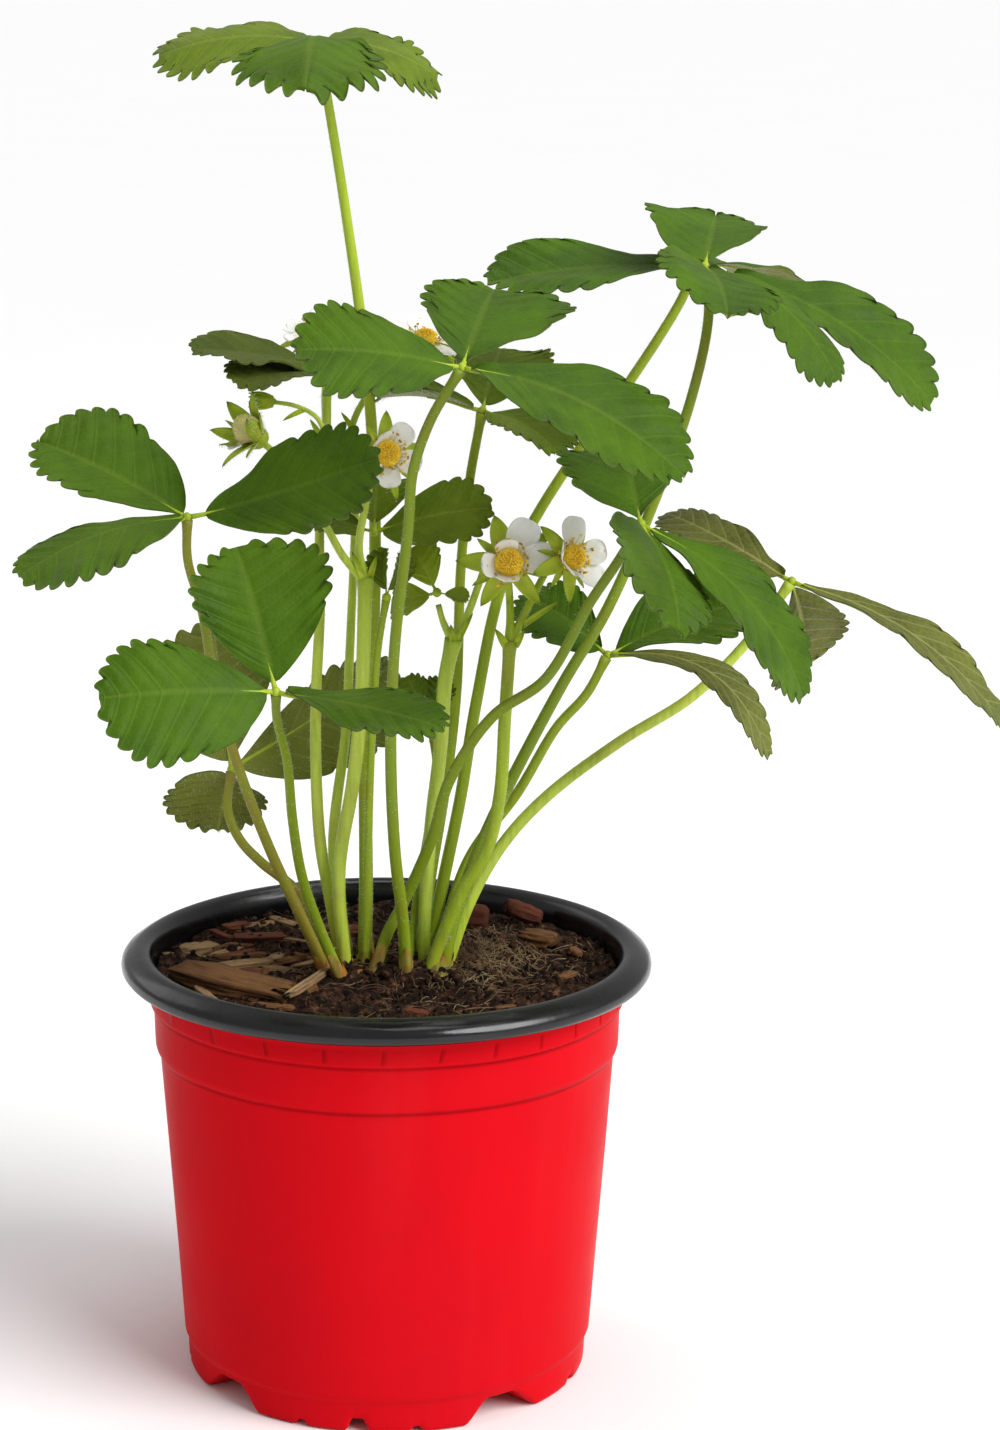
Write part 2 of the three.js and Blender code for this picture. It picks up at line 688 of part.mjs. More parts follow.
function calyx(size) {
  const sepals = lobes(5, Math.PI / 5, scaledLobe(sepalLobe, size));
  const between = lobes(5, 0, scaledLobe(bractLobe, size));
  const outline = [];
  for (let i = 0; i < 5; i += 1) {
    outline.push(...between.slice(3 * i, 3 * i + 3), ...sepals.slice(6 * i, 6 * i + 6));
  }
  const star = bowled(flat(outline, sepalThickness), -petalThickness - gap - sepalThickness);
  const cup = new THREE.CylinderGeometry(3 * size, 1, 2.4, 6);
  cup.rotateX(Math.PI / 2);
  cup.translate(0, 0, -petalThickness - gap - 1.4);
  return joined([star, cup]);
}

function petals(size, count) {
  const outline = lobes(5, 0, scaledLobe(petalLobe, size)).slice(0, 8 * count);
  if (count < 5) outline.push([1.2, Math.PI]);
  return bowled(flat(outline, petalThickness), -petalThickness);
}

function flowerCentre(size) {
  const profile = [[0, 1], [5.3, 1], [5.5, 2], [3.4, 3.4], [0, 4.4]];
  const geometry = new THREE.LatheGeometry(profile.map(([r, z]) => new THREE.Vector2(r * size, z)), 9);
  geometry.rotateX(Math.PI / 2);
  return geometry;
}

for (const [name, flower] of Object.entries(flowers)) {
  addPiece(`flower_calyx_${name}`, placed(calyx(flower.size), flower), colours.calyx);
  addPiece(`flower_petals_${name}`, placed(petals(flower.size, 5), flower), colours.petal);
  addPiece(`flower_centre_${name}`, placed(flowerCentre(flower.size), flower), colours.anther);
}

// The flower that has set fruit has a small unripe berry in its calyx
function youngFruit() {
  const profile = [[0, -0.5], [2.6, -0.5], [3.6, 1], [2.4, 4.4], [0, 5.8]];
  const geometry = new THREE.LatheGeometry(profile.map(([r, z]) => new THREE.Vector2(r, z)), 10);
  geometry.rotateX(Math.PI / 2);
  return geometry;
}

addPiece('fruit_calyx', placed(calyx(setting.size), setting), colours.calyx);
addPiece('fruit_young', placed(youngFruit(), setting), colours.fruit);

// Crown: the two short rootstocks the leaves grow from, joined under the soil. Every stalk
// stands in its own socket in it.
const crownProfile = [[0, 86], [7.5, 87], [9.8, 99], [8.6, 102.8], [0, 104]];
const crownCentres = [[-8.8, -5], [9.3, -3]];
const crownSides = 12;

function crownLobe([x, y], clearance) {
  const profile = crownProfile.map(([radius, height], i) => {
    const bottom = i < 2 ? -clearance : clearance;
    return new THREE.Vector2(radius > 0 ? radius + clearance : 0, height + bottom);
  });
  const geometry = new THREE.LatheGeometry(profile, crownSides);
  geometry.rotateX(Math.PI / 2);
  geometry.translate(x, y, 0);
  return geometry;
}

function crownBody(clearance = 0) {
  const bridge = new THREE.BoxGeometry(18, 8 + 2 * clearance, 6 + 2 * clearance);
  bridge.translate(0, -4, 91);
  return joined([...crownCentres.map((centre) => crownLobe(centre, clearance)), bridge]);
}

function cutBy(body, cutters) {
  return geometryOf(cutters.map(solidOf).reduce((left, cutter) => left.subtract(cutter), solidOf(body)));
}

addPiece('crown', cutBy(crownBody(), stalkBases), colours.crown);

// Bark chips lie half sunk in the soil: centre, turn and tilt in degrees, length, width, height
const barkChips = {
  long: { centre: [-37, -20, 102.5], turn: -28, tilt: 4, size: [34, 11, 4.5] },
  sliver: { centre: [-38, -3, 102], turn: 12, tilt: -3, size: [22, 3, 2] },
  left: { centre: [-47, 12, 102], turn: 35, tilt: 3, size: [11, 5, 2.5] },
  block: { centre: [22, 33, 104], turn: -15, tilt: 0, size: [9, 6, 6] },
  right: { centre: [38, 16, 103.5], turn: -38, tilt: 0, size: [11, 6, 3] },
  shard: { centre: [35, 35, 105], turn: 20, tilt: 24, size: [11, 4, 4] },
};

function barkChip({ centre, turn, tilt, size: [length, width, height] }, clearance = 0) {
  const half = [length / 2 + clearance, width / 2 + clearance];
  const corners = [[-1, -0.4], [-0.5, -1], [0.8, -0.8], [1, 0.3], [0.3, 0.9], [-0.8, 0.8]];
  const shape = new THREE.Shape(corners.map(([x, y]) => new THREE.Vector2(x * half[0], y * half[1])));
  const geometry = new THREE.ExtrudeGeometry(shape, { depth: height + 2 * clearance, bevelEnabled: false });
  geometry.translate(0, 0, -height / 2 - clearance);
  geometry.rotateY(THREE.MathUtils.degToRad(tilt));
  geometry.rotateZ(THREE.MathUtils.degToRad(turn));
  geometry.translate(...centre);
  return geometry;
}

for (const [name, chip] of Object.entries(barkChips)) {
  addPiece(`bark_${name}`, barkChip(chip), colours.bark);
}

// Soil: fills the pot to just under its rim, with a low mound of root ball on the right
const mound = { x: 24, y: 12, height: 4, spread: 11 };

function soilHeight(x, y) {
  const ripple = 0.9 * Math.sin(x / 9 + 1) * Math.cos(y / 8);
  const distance = Math.hypot(x - mound.x, y - mound.y);
  return soilLevel + ripple + mound.height * Math.exp(-((distance / mound.spread) ** 2));
}

function soilRing(radius) {
  return (angle) => {
    const [x, y] = polar(radius, angle, 0);
    return [x, y, soilHeight(x, y)];
  };
}

function soil() {
  const inset = potWall + 0.4;
  const corner = potBaseRadius - 2.6;
  const rings = [
    footRing(footCentreRadius, potWall + gap),
    footRing(footChannelRadius, potWall + gap),
    footRing(corner, potWall + gap),
    footRing(potBaseRadius - inset, 2.6),
    ringAt(potBaseRadius + 1.2 - inset, 10),
    ringAt(potMouthRadius - 2 - inset, 80.8),
    ringAt(potMouthRadius - 1.3, 99),
    soilRing(potMouthRadius - 1.4),
    soilRing(45),
    soilRing(32),
    soilRing(20),
  ];
  return ringSolid(potAngles, rings, [0, 0, potWall + gap], [0, 0, soilHeight(0, 0)]);
}

const soilCutters = [crownBody(gap), ...Object.values(barkChips).map((chip) => barkChip(chip, gap))];
addPiece('soil', cutBy(soil(), soilCutters), colours.soil, 0.95);

export default plant;
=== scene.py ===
"""A potted strawberry plant in flower, dressed for the camera around its CAD solids."""

import math
import random

import bpy
import numpy as np
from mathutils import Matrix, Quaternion, Vector, noise


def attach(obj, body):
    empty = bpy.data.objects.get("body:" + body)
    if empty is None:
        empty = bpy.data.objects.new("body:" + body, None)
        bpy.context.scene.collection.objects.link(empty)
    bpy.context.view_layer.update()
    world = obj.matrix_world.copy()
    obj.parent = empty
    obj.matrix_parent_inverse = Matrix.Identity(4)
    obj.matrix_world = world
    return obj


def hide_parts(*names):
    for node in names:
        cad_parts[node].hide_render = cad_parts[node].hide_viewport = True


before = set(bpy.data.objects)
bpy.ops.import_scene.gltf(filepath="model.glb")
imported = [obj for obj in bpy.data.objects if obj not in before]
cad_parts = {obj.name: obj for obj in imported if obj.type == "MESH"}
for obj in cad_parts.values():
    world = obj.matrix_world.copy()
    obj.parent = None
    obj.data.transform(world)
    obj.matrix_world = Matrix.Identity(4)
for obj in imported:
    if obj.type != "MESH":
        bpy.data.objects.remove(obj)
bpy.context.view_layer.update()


# Nursery pot. The real one is a thin shell moulded in two layers of plastic, red outside and
# black inside, with a black rolled rim, a stepped collar and a foot notched for drainage.

MM = 0.001
pot_turns = 480
foot_turn = math.radians(-98)
foot_rise = 7.2
floor_top = 0.8
# Foot notches over a quarter turn, mirrored on the next one, as (degrees, height in mm)
foot_notches = [
    (0, 3.5), (1.6, 3.4), (3.4, 0), (14.6, 0), (15.4, 1.3), (17.6, 1.3), (18.4, 0), (31.0, 0),
    (32.6, 1.6), (36.4, 6.0), (37.6, 6.5), (45.5, 6.5), (47.2, 6.0), (54.4, 0.8), (56.2, 0),
    (71.4, 0), (72.6, 1.6), (75.4, 1.6), (76.6, 0), (90, 0),
]
# Underside and inner floor as (radius, height, whether the foot's notches lift it)
underside = [
    (16, 0, 0), (24, 0, 1), (40, 0, 1), (47.6, 0, 1), (48.6, 0.15, 1), (49.3, 0.6, 1),
    (49.6, 1.4, 1), (49.75, 4.2, 1),
]
inner_floor = [(48.2, 2.2, 1), (47.4, floor_top, 1), (24, floor_top, 1), (16, floor_top, 0)]
# Outside of the shell from the foot up, then the rolled rim and the inside, as (radius, height)
red_side = [
    (49.85, 7.2), (50.0, 7.9), (50.5, 8.6), (50.8, 9.3), (50.85, 10.4), (52.2, 30), (54.0, 55),
    (55.78, 80.2), (55.85, 81.2), (56.1, 82.0), (56.7, 82.9), (56.95, 83.8), (57.0, 84.8),
    (57.15, 90), (57.2, 92.4), (57.28, 93.3), (57.6, 93.8), (58.1, 94.3), (58.2, 95.0), (58.25, 98),
    (58.35, 101.2),
]
black_rim = [
    (60.6, 101.0), (63.2, 101.1), (64.3, 101.5), (64.9, 102.3), (65.0, 103.2), (64.8, 104.1),
    (64.2, 105.0), (63.3, 105.7), (62.0, 106.5), (61.0, 106.9), (60.0, 106.95), (59.0, 106.7),
    (58.2, 106.2), (57.8, 105.6), (57.3, 104.4), (57.05, 102.4), (56.9, 99), (56.2, 94),
    (55.0, 80), (50.0, 9.5),
]
rim_rings = 14
step_height = 83
# Heights in mm of the painted shadow lines just under the collar's steps
step_shadow_heights = (82.1, 93.5)
collar_foot = 94.6
collar_ribs = 17
collar_ticks = 26
pot_red = (0.62, 0.004, 0.009)
pot_black = (0.004, 0.004, 0.005)


def material(name, roughness, specular=0.5, sheen=0.0, glow=0.0):
    """A node material with its uniform values set on the shader itself."""
    made = bpy.data.materials.new(name)
    made.use_nodes = True
    shader = made.node_tree.nodes["Principled BSDF"]
    shader.inputs["Roughness"].default_value = roughness
    shader.inputs["Specular IOR Level"].default_value = specular
    shader.inputs["Sheen Weight"].default_value = sheen
    shader.inputs["Subsurface Weight"].default_value = glow
    return made, made.node_tree, shader


def node(tree, kind, **settings):
    """A shader node; its settings are properties or, with a leading _, input values."""
    made = tree.nodes.new("ShaderNode" + kind)
    for key, value in settings.items():
        if key.startswith("_"):
            made.inputs[key[1:].replace("_", " ")].default_value = value
        else:
            setattr(made, key, value)
    return made


def grain(tree, scale, detail=4.0, roughness=0.55, stretch=None, warp=0.0):
    """Noise over the object's own coordinates, stretched where the grain runs one way."""
    where = node(tree, "TexCoord").outputs["Object"]
    if stretch:
        mapping = node(tree, "Mapping")
        mapping.inputs["Scale"].default_value = stretch
        tree.links.new(where, mapping.inputs["Vector"])
        where = mapping.outputs["Vector"]
    made = node(tree, "TexNoise", _Scale=scale, _Detail=detail, _Roughness=roughness)
    made.inputs["Distortion"].default_value = warp
    tree.links.new(where, made.inputs["Vector"])
    return made.outputs["Fac"]


def ramp(tree, value, stops):
    """Colours, or greys given as single numbers, along a value."""
    made = node(tree, "ValToRGB")
    bar = made.color_ramp
    while len(bar.elements) < len(stops):
        bar.elements.new(0.5)
    for element, (place, colour) in zip(bar.elements, stops):
        element.position = place
        grey = not isinstance(colour, tuple)
        element.color = (colour, colour, colour, 1) if grey else (*colour, 1)
    tree.links.new(value, made.inputs["Fac"])
    return made.outputs["Color"]


def blend(tree, share, first, second, mode="MIX"):
    """Mixes two colours, each a socket or three numbers, by a share or a socket."""
    made = node(tree, "Mix", data_type="RGBA", blend_type=mode)
    for place, value in ((0, share), (6, first), (7, second)):
        socket = made.inputs[place]
        if isinstance(value, bpy.types.NodeSocket):
            tree.links.new(value, socket)
        else:
            socket.default_value = (*value, 1) if isinstance(value, tuple) else value
    return made.outputs[2]


def sums(tree, kind, first, second=None):
    """One maths node over sockets or numbers."""
    made = node(tree, "Math", operation=kind)
    for socket, value in zip(made.inputs, (first, second)):
        if isinstance(value, bpy.types.NodeSocket):
            tree.links.new(value, socket)
        elif value is not None:
            socket.default_value = value
    return made.outputs[0]


def relief(tree, shader, height, strength, distance):
    """Bump on the shader; more than one call stacks up."""
    made = node(tree, "Bump", _Strength=strength, _Distance=distance)
    tree.links.new(height, made.inputs["Height"])
    held = shader.inputs["Normal"].links
    if held:
        tree.links.new(held[0].from_socket, made.inputs["Normal"])
    tree.links.new(made.outputs["Normal"], shader.inputs["Normal"])


def tinted(tree, colour, value, stops, tint):
    """Lays a tint over a colour as far as the stops along a value say."""
    return blend(tree, ramp(tree, value, stops), colour, tint)


def piece(name, points, faces, materials, nodes=(), picks=None, uv=None):
    """A smooth mesh from points in mm, with its materials; the CAD nodes whose form it keeps are hidden.
    The whole plant is one body, so every piece rides on its root."""
    mesh = bpy.data.meshes.new(name)
    mesh.from_pydata((np.asarray(points, float) * MM).tolist(), [], faces)
    mesh.polygons.foreach_set("use_smooth", [True] * len(mesh.polygons))
    for made in materials:
        mesh.materials.append(made)
    if picks is not None:
        mesh.polygons.foreach_set("material_index", picks)
    if uv is not None:
        corners = np.empty(len(mesh.loops), int)
        mesh.loops.foreach_get("vertex_index", corners)
        layer = mesh.uv_layers.new(name="run")
        layer.data.foreach_set("uv", np.asarray(uv, float)[corners].ravel())
    mesh.update()
    made = bpy.data.objects.new(name, mesh)
    bpy.context.collection.objects.link(made)
    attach(made, "root")
    if nodes:
        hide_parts(*nodes)
    return made


def foot_height(angle):
    """Height of the foot's edge above the ground at an angle round the pot."""
    quarter = math.degrees(angle - foot_turn) % 180
    quarter = min(quarter, 180 - quarter)
    for (low, first), (high, second) in zip(foot_notches, foot_notches[1:]):
        if low <= quarter <= high:
            return first + (second - first) * (quarter - low) / (high - low)
    return 0.0


def smooth(low, high, value):
    """Eases from 0 to 1 as a value goes from low to high."""
    share = min(1, max(0, (value - low) / (high - low)))
    return share * share * (3 - 2 * share)


def ring_faces(start, rings, around, capped=False):
    """Faces between rings of points, and over the first and last ring where it is capped."""
    faces = []
    for ring in range(rings - 1):
        low = start + ring * around
        for k in range(around):
            following = (k + 1) % around
            faces.append((low + k, low + following, low + around + following, low + around + k))
    if capped:
        faces.append(tuple(start + k for k in reversed(range(around))))
        faces.append(tuple(start + (rings - 1) * around + k for k in range(around)))
    return faces


def pot_shell():
    """Rings of the shell from the middle of the floor out, up, over the rim and down inside."""
    angles = [foot_turn + 2 * math.pi * i / pot_turns for i in range(pot_turns)]
    rings = underside + [(radius, height, 0) for radius, height in red_side + black_rim] + inner_floor
    first_black = len(underside) + len(red_side) - 1
    points = []
    for ring, (radius, height, lifted) in enumerate(rings):
        for angle in angles:
            out, up = radius, height
            lift = foot_height(angle) * lifted
            if len(underside) <= ring < first_black:
                # the thin side is never quite round or plumb
                out += 0.16 * math.sin(3 * angle + height / 30) + 0.1 * math.sin(7 * angle + 2)
                if height > collar_foot:
                    rib = smooth(0.86, 1, math.cos(collar_ribs * angle + 0.8))
                    out += 0.14 * rib * smooth(95, 97, height)
                if abs(height - step_height) < 1.5:
                    up += 0.25 * math.sin(5 * angle) + 0.14 * math.sin(13 * angle + 1)
            if first_black < ring <= first_black + rim_rings:
                up += 0.12 * math.sin(4 * angle + 1)
            up += lift * (1 - up / foot_rise)
            points.append((out * math.cos(angle), out * math.sin(angle), up))
    faces = ring_faces(0, len(rings), pot_turns)
    picks = [int(ring >= first_black) for ring in range(len(rings) - 1) for _ in range(pot_turns)]
    middle = len(points)
    points += [(0, 0, 0), (0, 0, floor_top)]
    top = (len(rings) - 1) * pot_turns
    for i in range(pot_turns):
        following = (i + 1) % pot_turns
        faces += [(middle, following, i), (middle + 1, top + i, top + following)]
        picks += [0, 1]
    return points, faces, picks


def red_plastic():
    """Shiny red polypropylene with faint flow lines, and a painted shadow line just under each step of the
    collar.
    """
    made, tree, shader = material("pot_red_plastic", 0.42, specular=0.015)
    cloud = grain(tree, 14, 5)
    streaks = grain(tree, 60, 3, stretch=(1, 1, 0.08))
    colour = tinted(tree, pot_red, cloud, [(0.35, 0.0), (0.7, 1.0)], (0.52, 0.005, 0.011))
    height = node(tree, "SeparateXYZ")
    tree.links.new(node(tree, "TexCoord").outputs["Object"], height.inputs[0])
    wavy = sums(tree, "MULTIPLY", sums(tree, "SUBTRACT", grain(tree, 30, 2), 0.5), 0.0008)
    level = sums(tree, "ADD", height.outputs["Z"], wavy)
    # painted shadow: a dark red line just under each step, where the overhang shades the wall
    step_shadow = 0.0
    for step in step_shadow_heights:
        near = sums(tree, "ABSOLUTE", sums(tree, "SUBTRACT", level, step * MM))
        line = ramp(tree, sums(tree, "MULTIPLY", near, 1 / MM), [(0.05, 0.9), (0.8, 0.0)])
        step_shadow = sums(tree, "MAXIMUM", line, step_shadow)
    colour = blend(tree, sums(tree, "MULTIPLY", step_shadow, 0.6), colour, (0.15, 0.0, 0.003))
    # short upright marks of the mould round the collar
    around = sums(tree, "ARCTAN2", height.outputs["Y"], height.outputs["X"])
    uneven = sums(tree, "ADD", around, grain(tree, 8, 1))
    beat = sums(tree, "FRACT", sums(tree, "MULTIPLY", uneven, collar_ticks / math.tau))
    collar = ramp(tree, sums(tree, "MULTIPLY", level, 10),
                  [(0.945, 0.0), (0.955, 1.0), (0.978, 1.0), (0.99, 0.0)])
    mark = ramp(tree, beat, [(0.0, 1.0), (0.05, 0.55), (0.10, 0.0), (0.97, 0.0)])
    tick = sums(tree, "MULTIPLY", mark, collar)
    colour = blend(tree, sums(tree, "MULTIPLY", tick, 0.55), colour, (0.16, 0.0, 0.004))
    relief(tree, shader, sums(tree, "ADD", step_shadow, tick), 0.5, -0.0004)
    colour = tinted(tree, colour, streaks, [(0.56, 0.0), (0.75, 0.10)], (0.62, 0.03, 0.03))
    tree.links.new(colour, shader.inputs["Base Color"])
    tree.links.new(ramp(tree, grain(tree, 45, 6), [(0.3, 0.3), (0.7, 0.46)]), shader.inputs["Roughness"])
    relief(tree, shader, streaks, 0.12, 0.0004)
    relief(tree, shader, grain(tree, 900, 2), 0.08, 0.00015)
    relief(tree, shader, grain(tree, 22, 2), 0.35, 0.0015)
    return made


def black_plastic():
    """Satin black plastic of the rim and inside, scuffed and dusty in patches."""
    made, tree, shader = material("pot_black_plastic", 0.20, specular=0.5)
    dust = ramp(tree, grain(tree, 120, 8, 0.65), [(0.60, 0.0), (0.82, 0.3)])
    scuffs = ramp(tree, grain(tree, 40, 4, stretch=(1, 1, 6)), [(0.58, 0.0), (0.75, 0.35)])
    colour = blend(tree, dust, pot_black, (0.10, 0.085, 0.07))
    colour = blend(tree, scuffs, colour, (0.03, 0.031, 0.034))
    tree.links.new(colour, shader.inputs["Base Color"])
    tree.links.new(ramp(tree, grain(tree, 70, 5), [(0.3, 0.13), (0.7, 0.34)]), shader.inputs["Roughness"])
    relief(tree, shader, grain(tree, 260, 4), 0.18, 0.0003)
    return made


points, faces, picks = pot_shell()
piece("pot_shell", points, faces, [red_plastic(), black_plastic()], ["pot"], picks)


# Potting soil. Dark brown fibrous peat fills the pot to just under its rim, with a low mound
# of root ball on the right, a patch of old grey-green felt in front, crumbs and root fibres.

soil_level = 101
soil_edge = 56.3
# Side and floor of the plug below its top, as (radius, height)
soil_side = [(55.4, 92), (54.4, 80.8), (49.4, 10.5), (48.0, 8.6)]
# Middle of the root ball's mound, its height and its reach
mound = (24, 12, 4, 11)
crown_lobes = [(-8.8, -5), (9.3, -3)]
bank_height, bank_reach = 2.6, 11


def soil_height(x, y):
    """The CAD soil's own surface."""
    ripple = 0.9 * math.sin(x / 9 + 1) * math.cos(y / 8)
    distance = math.hypot(x - mound[0], y - mound[1])
    return soil_level + ripple + mound[2] * math.exp(-((distance / mound[3]) ** 2))


def soil_top(x, y):
    """The same surface broken into clods and crumbs, and drawn up round the crown's two lobes."""
    clods = noise.noise(Vector((x / 7, y / 7, 3)))
    crumbs = noise.fractal(Vector((x / 2.4, y / 2.4, 8)), 0.9, 2.1, 5)
    ball = math.exp(-((math.hypot(x - mound[0], y - mound[1]) / 17) ** 2))
    pits = abs(noise.noise(Vector((x / 3.1, y / 3.1, 21))))
    banked = sum(bank_height * math.exp(-((math.hypot(x - lobe[0], y - lobe[1]) / bank_reach) ** 2))
                 for lobe in crown_lobes)
    return soil_height(x, y) + 1.1 * clods + (1.35 + 0.8 * ball) * crumbs - 1.6 * pits + 0.2 + banked


def soil_body():
    """The filled plug: a fine broken top over plain sides and floor."""
    turns, steps = 300, 92
    rings = [(soil_edge * (1 - step / steps), None) for step in reversed(range(steps))] + soil_side
    points, faces = [], []
    for radius, height in rings:
        for i in range(turns):
            angle = 2 * math.pi * i / turns
            x, y = radius * math.cos(angle), radius * math.sin(angle)
            points.append((x, y, soil_top(x, y) if height is None else height))
    for ring in range(len(rings) - 1):
        inner, outer = ring * turns, (ring + 1) * turns
        for i in range(turns):
            following = (i + 1) % turns
            faces.append((inner + i, outer + i, outer + following, inner + following))
    last, middle = (len(rings) - 1) * turns, len(points)
    points += [(0, 0, soil_top(0, 0)), (0, 0, soil_side[-1][1])]
    for i in range(turns):
        following = (i + 1) % turns
        faces += [(middle, i, following), (middle + 1, last + following, last + i)]
    return points, faces


def peat():
    """Damp peat: near black hollows, brown crumbs, a few straw-coloured shreds."""
    made, tree, shader = material("soil_peat_mix", 0.92, specular=0.18)
    patches = grain(tree, 70, 5)
    crumbs = grain(tree, 420, 6, 0.7)
    colour = ramp(tree, crumbs, [(0.36, (0.004, 0.0022, 0.0015)), (0.48, (0.022, 0.010, 0.006)),
                                 (0.59, (0.080, 0.034, 0.017)), (0.71, (0.26, 0.14, 0.075))])
    colour = blend(tree, ramp(tree, patches, [(0.42, 0.0), (0.62, 0.55)]), colour, (0.10, 0.035, 0.016),
                   "OVERLAY")
    shreds = grain(tree, 900, 3, 0.6, stretch=(1, 0.16, 1), warp=1.2)
    colour = tinted(tree, colour, shreds, [(0.66, 0.0), (0.72, 0.7)], (0.26, 0.17, 0.09))
    tree.links.new(colour, shader.inputs["Base Color"])
    relief(tree, shader, crumbs, 0.9, 0.0012)
    relief(tree, shader, grain(tree, 1500, 3), 0.5, 0.0004)
    return made


soil_mix = peat()
points, faces = soil_body()
piece("soil_surface", points, faces, [soil_mix], ["soil"])


# Crumbs, root fibres and bits of bark lie loose on the soil. They are torn peat, dry roots and
# shredded bark, pressed a little into the surface.

crumb_count = 2600
fibre_count = 420
ball_root_count = 700
felt_count = 420
felt_middle = (-13, -48.5)
soil_reach = 55.5
crumb_rough = 0.55
loose = random.Random(11)


def lump(points, faces, x, y, z, size):
    """A crumb of two rings of four and two tips, knocked out of shape."""
    first = len(points)
    turn = loose.uniform(0, math.pi)
    for height in (-0.5, 0.45):
        for i in range(4):
            angle = turn + i * math.pi / 2 + height
            reach = size * loose.uniform(1 - crumb_rough, 1 + crumb_rough) * 0.7
            points.append((x + reach * math.cos(angle), y + reach * math.sin(angle),
                           z + size * height * loose.uniform(0.5, 1.1)))
    points += [(x, y, z - size * 0.7), (x, y, z + size * 0.8)]
    for i in range(4):
        following = (i + 1) % 4
        faces.append((first + i, first + following, first + 4 + following, first + 4 + i))
        faces.append((first + 8, first + following, first + i))
        faces.append((first + 9, first + 4 + i, first + 4 + following))


def spot_on_soil():
    """A random place on the soil, evenly spread."""
    angle, radius = loose.uniform(0, 2 * math.pi), 55.0 * math.sqrt(loose.random())
    return radius * math.cos(angle), radius * math.sin(angle)


points, faces = [], []
for _ in range(crumb_count):
    x, y = spot_on_soil()
    size = 0.3 + 1.3 * loose.random() ** 3
    lump(points, faces, x, y, soil_top(x, y) + 0.2 * size, size)
piece("soil_crumbs", points, faces, [soil_mix])


def curve_points(route, count):
    """Even points along the smooth curve through a route, and the curve's length."""
    through = np.array(route, float)
    ends = np.vstack([2 * through[0] - through[1], through, 2 * through[-1] - through[-2]])
    fine = []
    for i in range(len(through) - 1):
        p0, p1, p2, p3 = ends[i:i + 4]
        d0, d1, d2 = (max(np.linalg.norm(b - a) ** 0.5, 1e-4)
                      for a, b in ((p0, p1), (p1, p2), (p2, p3)))
        start = ((p1 - p0) / d0 - (p2 - p0) / (d0 + d1) + (p2 - p1) / d1) * d1
        stop = ((p2 - p1) / d1 - (p3 - p1) / (d1 + d2) + (p3 - p2) / d2) * d1
        t = np.linspace(0, 1, 24, endpoint=False)[:, None]
        fine.append(p1 + start * t + (-3 * p1 + 3 * p2 - 2 * start - stop) * t**2
                    + (2 * p1 - 2 * p2 + start + stop) * t**3)
    fine = np.vstack(fine + [through[-1:]])
    run = np.concatenate([[0], np.cumsum(np.linalg.norm(np.diff(fine, axis=0), axis=1))])
    wanted = np.linspace(0, run[-1], count)
    return np.column_stack([np.interp(wanted, run, fine[:, k]) for k in range(3)]), run[-1]


def frames_along(line):
    """Two directions across the line at each point, carried along it without twist."""
    ahead = np.gradient(line, axis=0)
    ahead /= np.linalg.norm(ahead, axis=1)[:, None]
    side = np.cross(ahead[0], (0, 1, 0.3))
    sides = []
    for direction in ahead:
        side = side - direction * side.dot(direction)
        side /= np.linalg.norm(side)
        sides.append(side)
    sides = np.array(sides)
    return ahead, sides, np.cross(ahead, sides)


def tube(line, radii, sides, groove=0.0, start=0):
    """A round rod along a line: points, faces and (round, along) for each point."""
    _, across, up = frames_along(line)
    count = len(line)
    points, run = [], []
    for i, centre in enumerate(line):
        for k in range(sides):
            angle = 2 * math.pi * k / sides
            radius = radii[i] * (1 - groove * math.exp(-((angle - math.pi / 2) / 0.5) ** 2))
            points.append(centre + radius * (math.cos(angle) * across[i] + math.sin(angle) * up[i]))
            run.append((k / sides, i / (count - 1)))
    return points, ring_faces(start, count, sides, capped=True), run


def fibres(starts, longest, thickest):
    """Thin wandering roots lying on the soil, their ends pressed into it."""
    points, faces = [], []
    for x, y in starts:
        heading, length = loose.uniform(0, 2 * math.pi), loose.uniform(3, longest)
        route = []
        for k in range(4):
            height = soil_top(x, y) + loose.uniform(0.1, 0.7) - (0.5 if k in (0, 3) else 0)
            route.append((x, y, height))
            x += math.cos(heading) * length / 3
            y += math.sin(heading) * length / 3
            heading += loose.uniform(-0.9, 0.9)
            if math.hypot(x, y) > soil_reach:
                break
        if len(route) > 2:
            line, _ = curve_points(route, 8)
            more, rods, _ = tube(line, [loose.uniform(0.06, thickest)] * 8, 3, start=len(points))
            points += more
            faces += rods
    return points, faces


def straw(name, dark, mid, pale):
    """Dry root and straw."""
    made, tree, shader = material(name, 0.8, specular=0.2)
    colour = ramp(tree, grain(tree, 90, 3), [(0.35, dark), (0.55, mid), (0.72, pale)])
    tree.links.new(colour, shader.inputs["Base Color"])
    relief(tree, shader, grain(tree, 1800, 2), 0.4, 0.0002)
    return made


dry_root = straw("dry_root", (0.05, 0.025, 0.014), (0.14, 0.08, 0.042), (0.34, 0.24, 0.13))
ball_root = straw("ball_root", (0.10, 0.06, 0.03), (0.27, 0.19, 0.10), (0.50, 0.42, 0.26))
felt_root = straw("felt_root", (0.06, 0.045, 0.018), (0.17, 0.14, 0.06), (0.34, 0.29, 0.15))
points, faces = fibres([spot_on_soil() for _ in range(fibre_count)], 15, 0.17)
piece("root_fibres", points, faces, [dry_root])
on_ball = [(loose.gauss(mound[0] - 2, 9), loose.gauss(mound[1] - 8, 12)) for _ in range(ball_root_count)]
points, faces = fibres(on_ball, 12, 0.11)
piece("root_ball_fibres", points, faces, [ball_root])
felt = [(loose.gauss(felt_middle[0], 6), loose.gauss(felt_middle[1], 2.4)) for _ in range(felt_count)]
points, faces = fibres(felt, 7, 0.1)
piece("felt_fibres", points, faces, [felt_root])


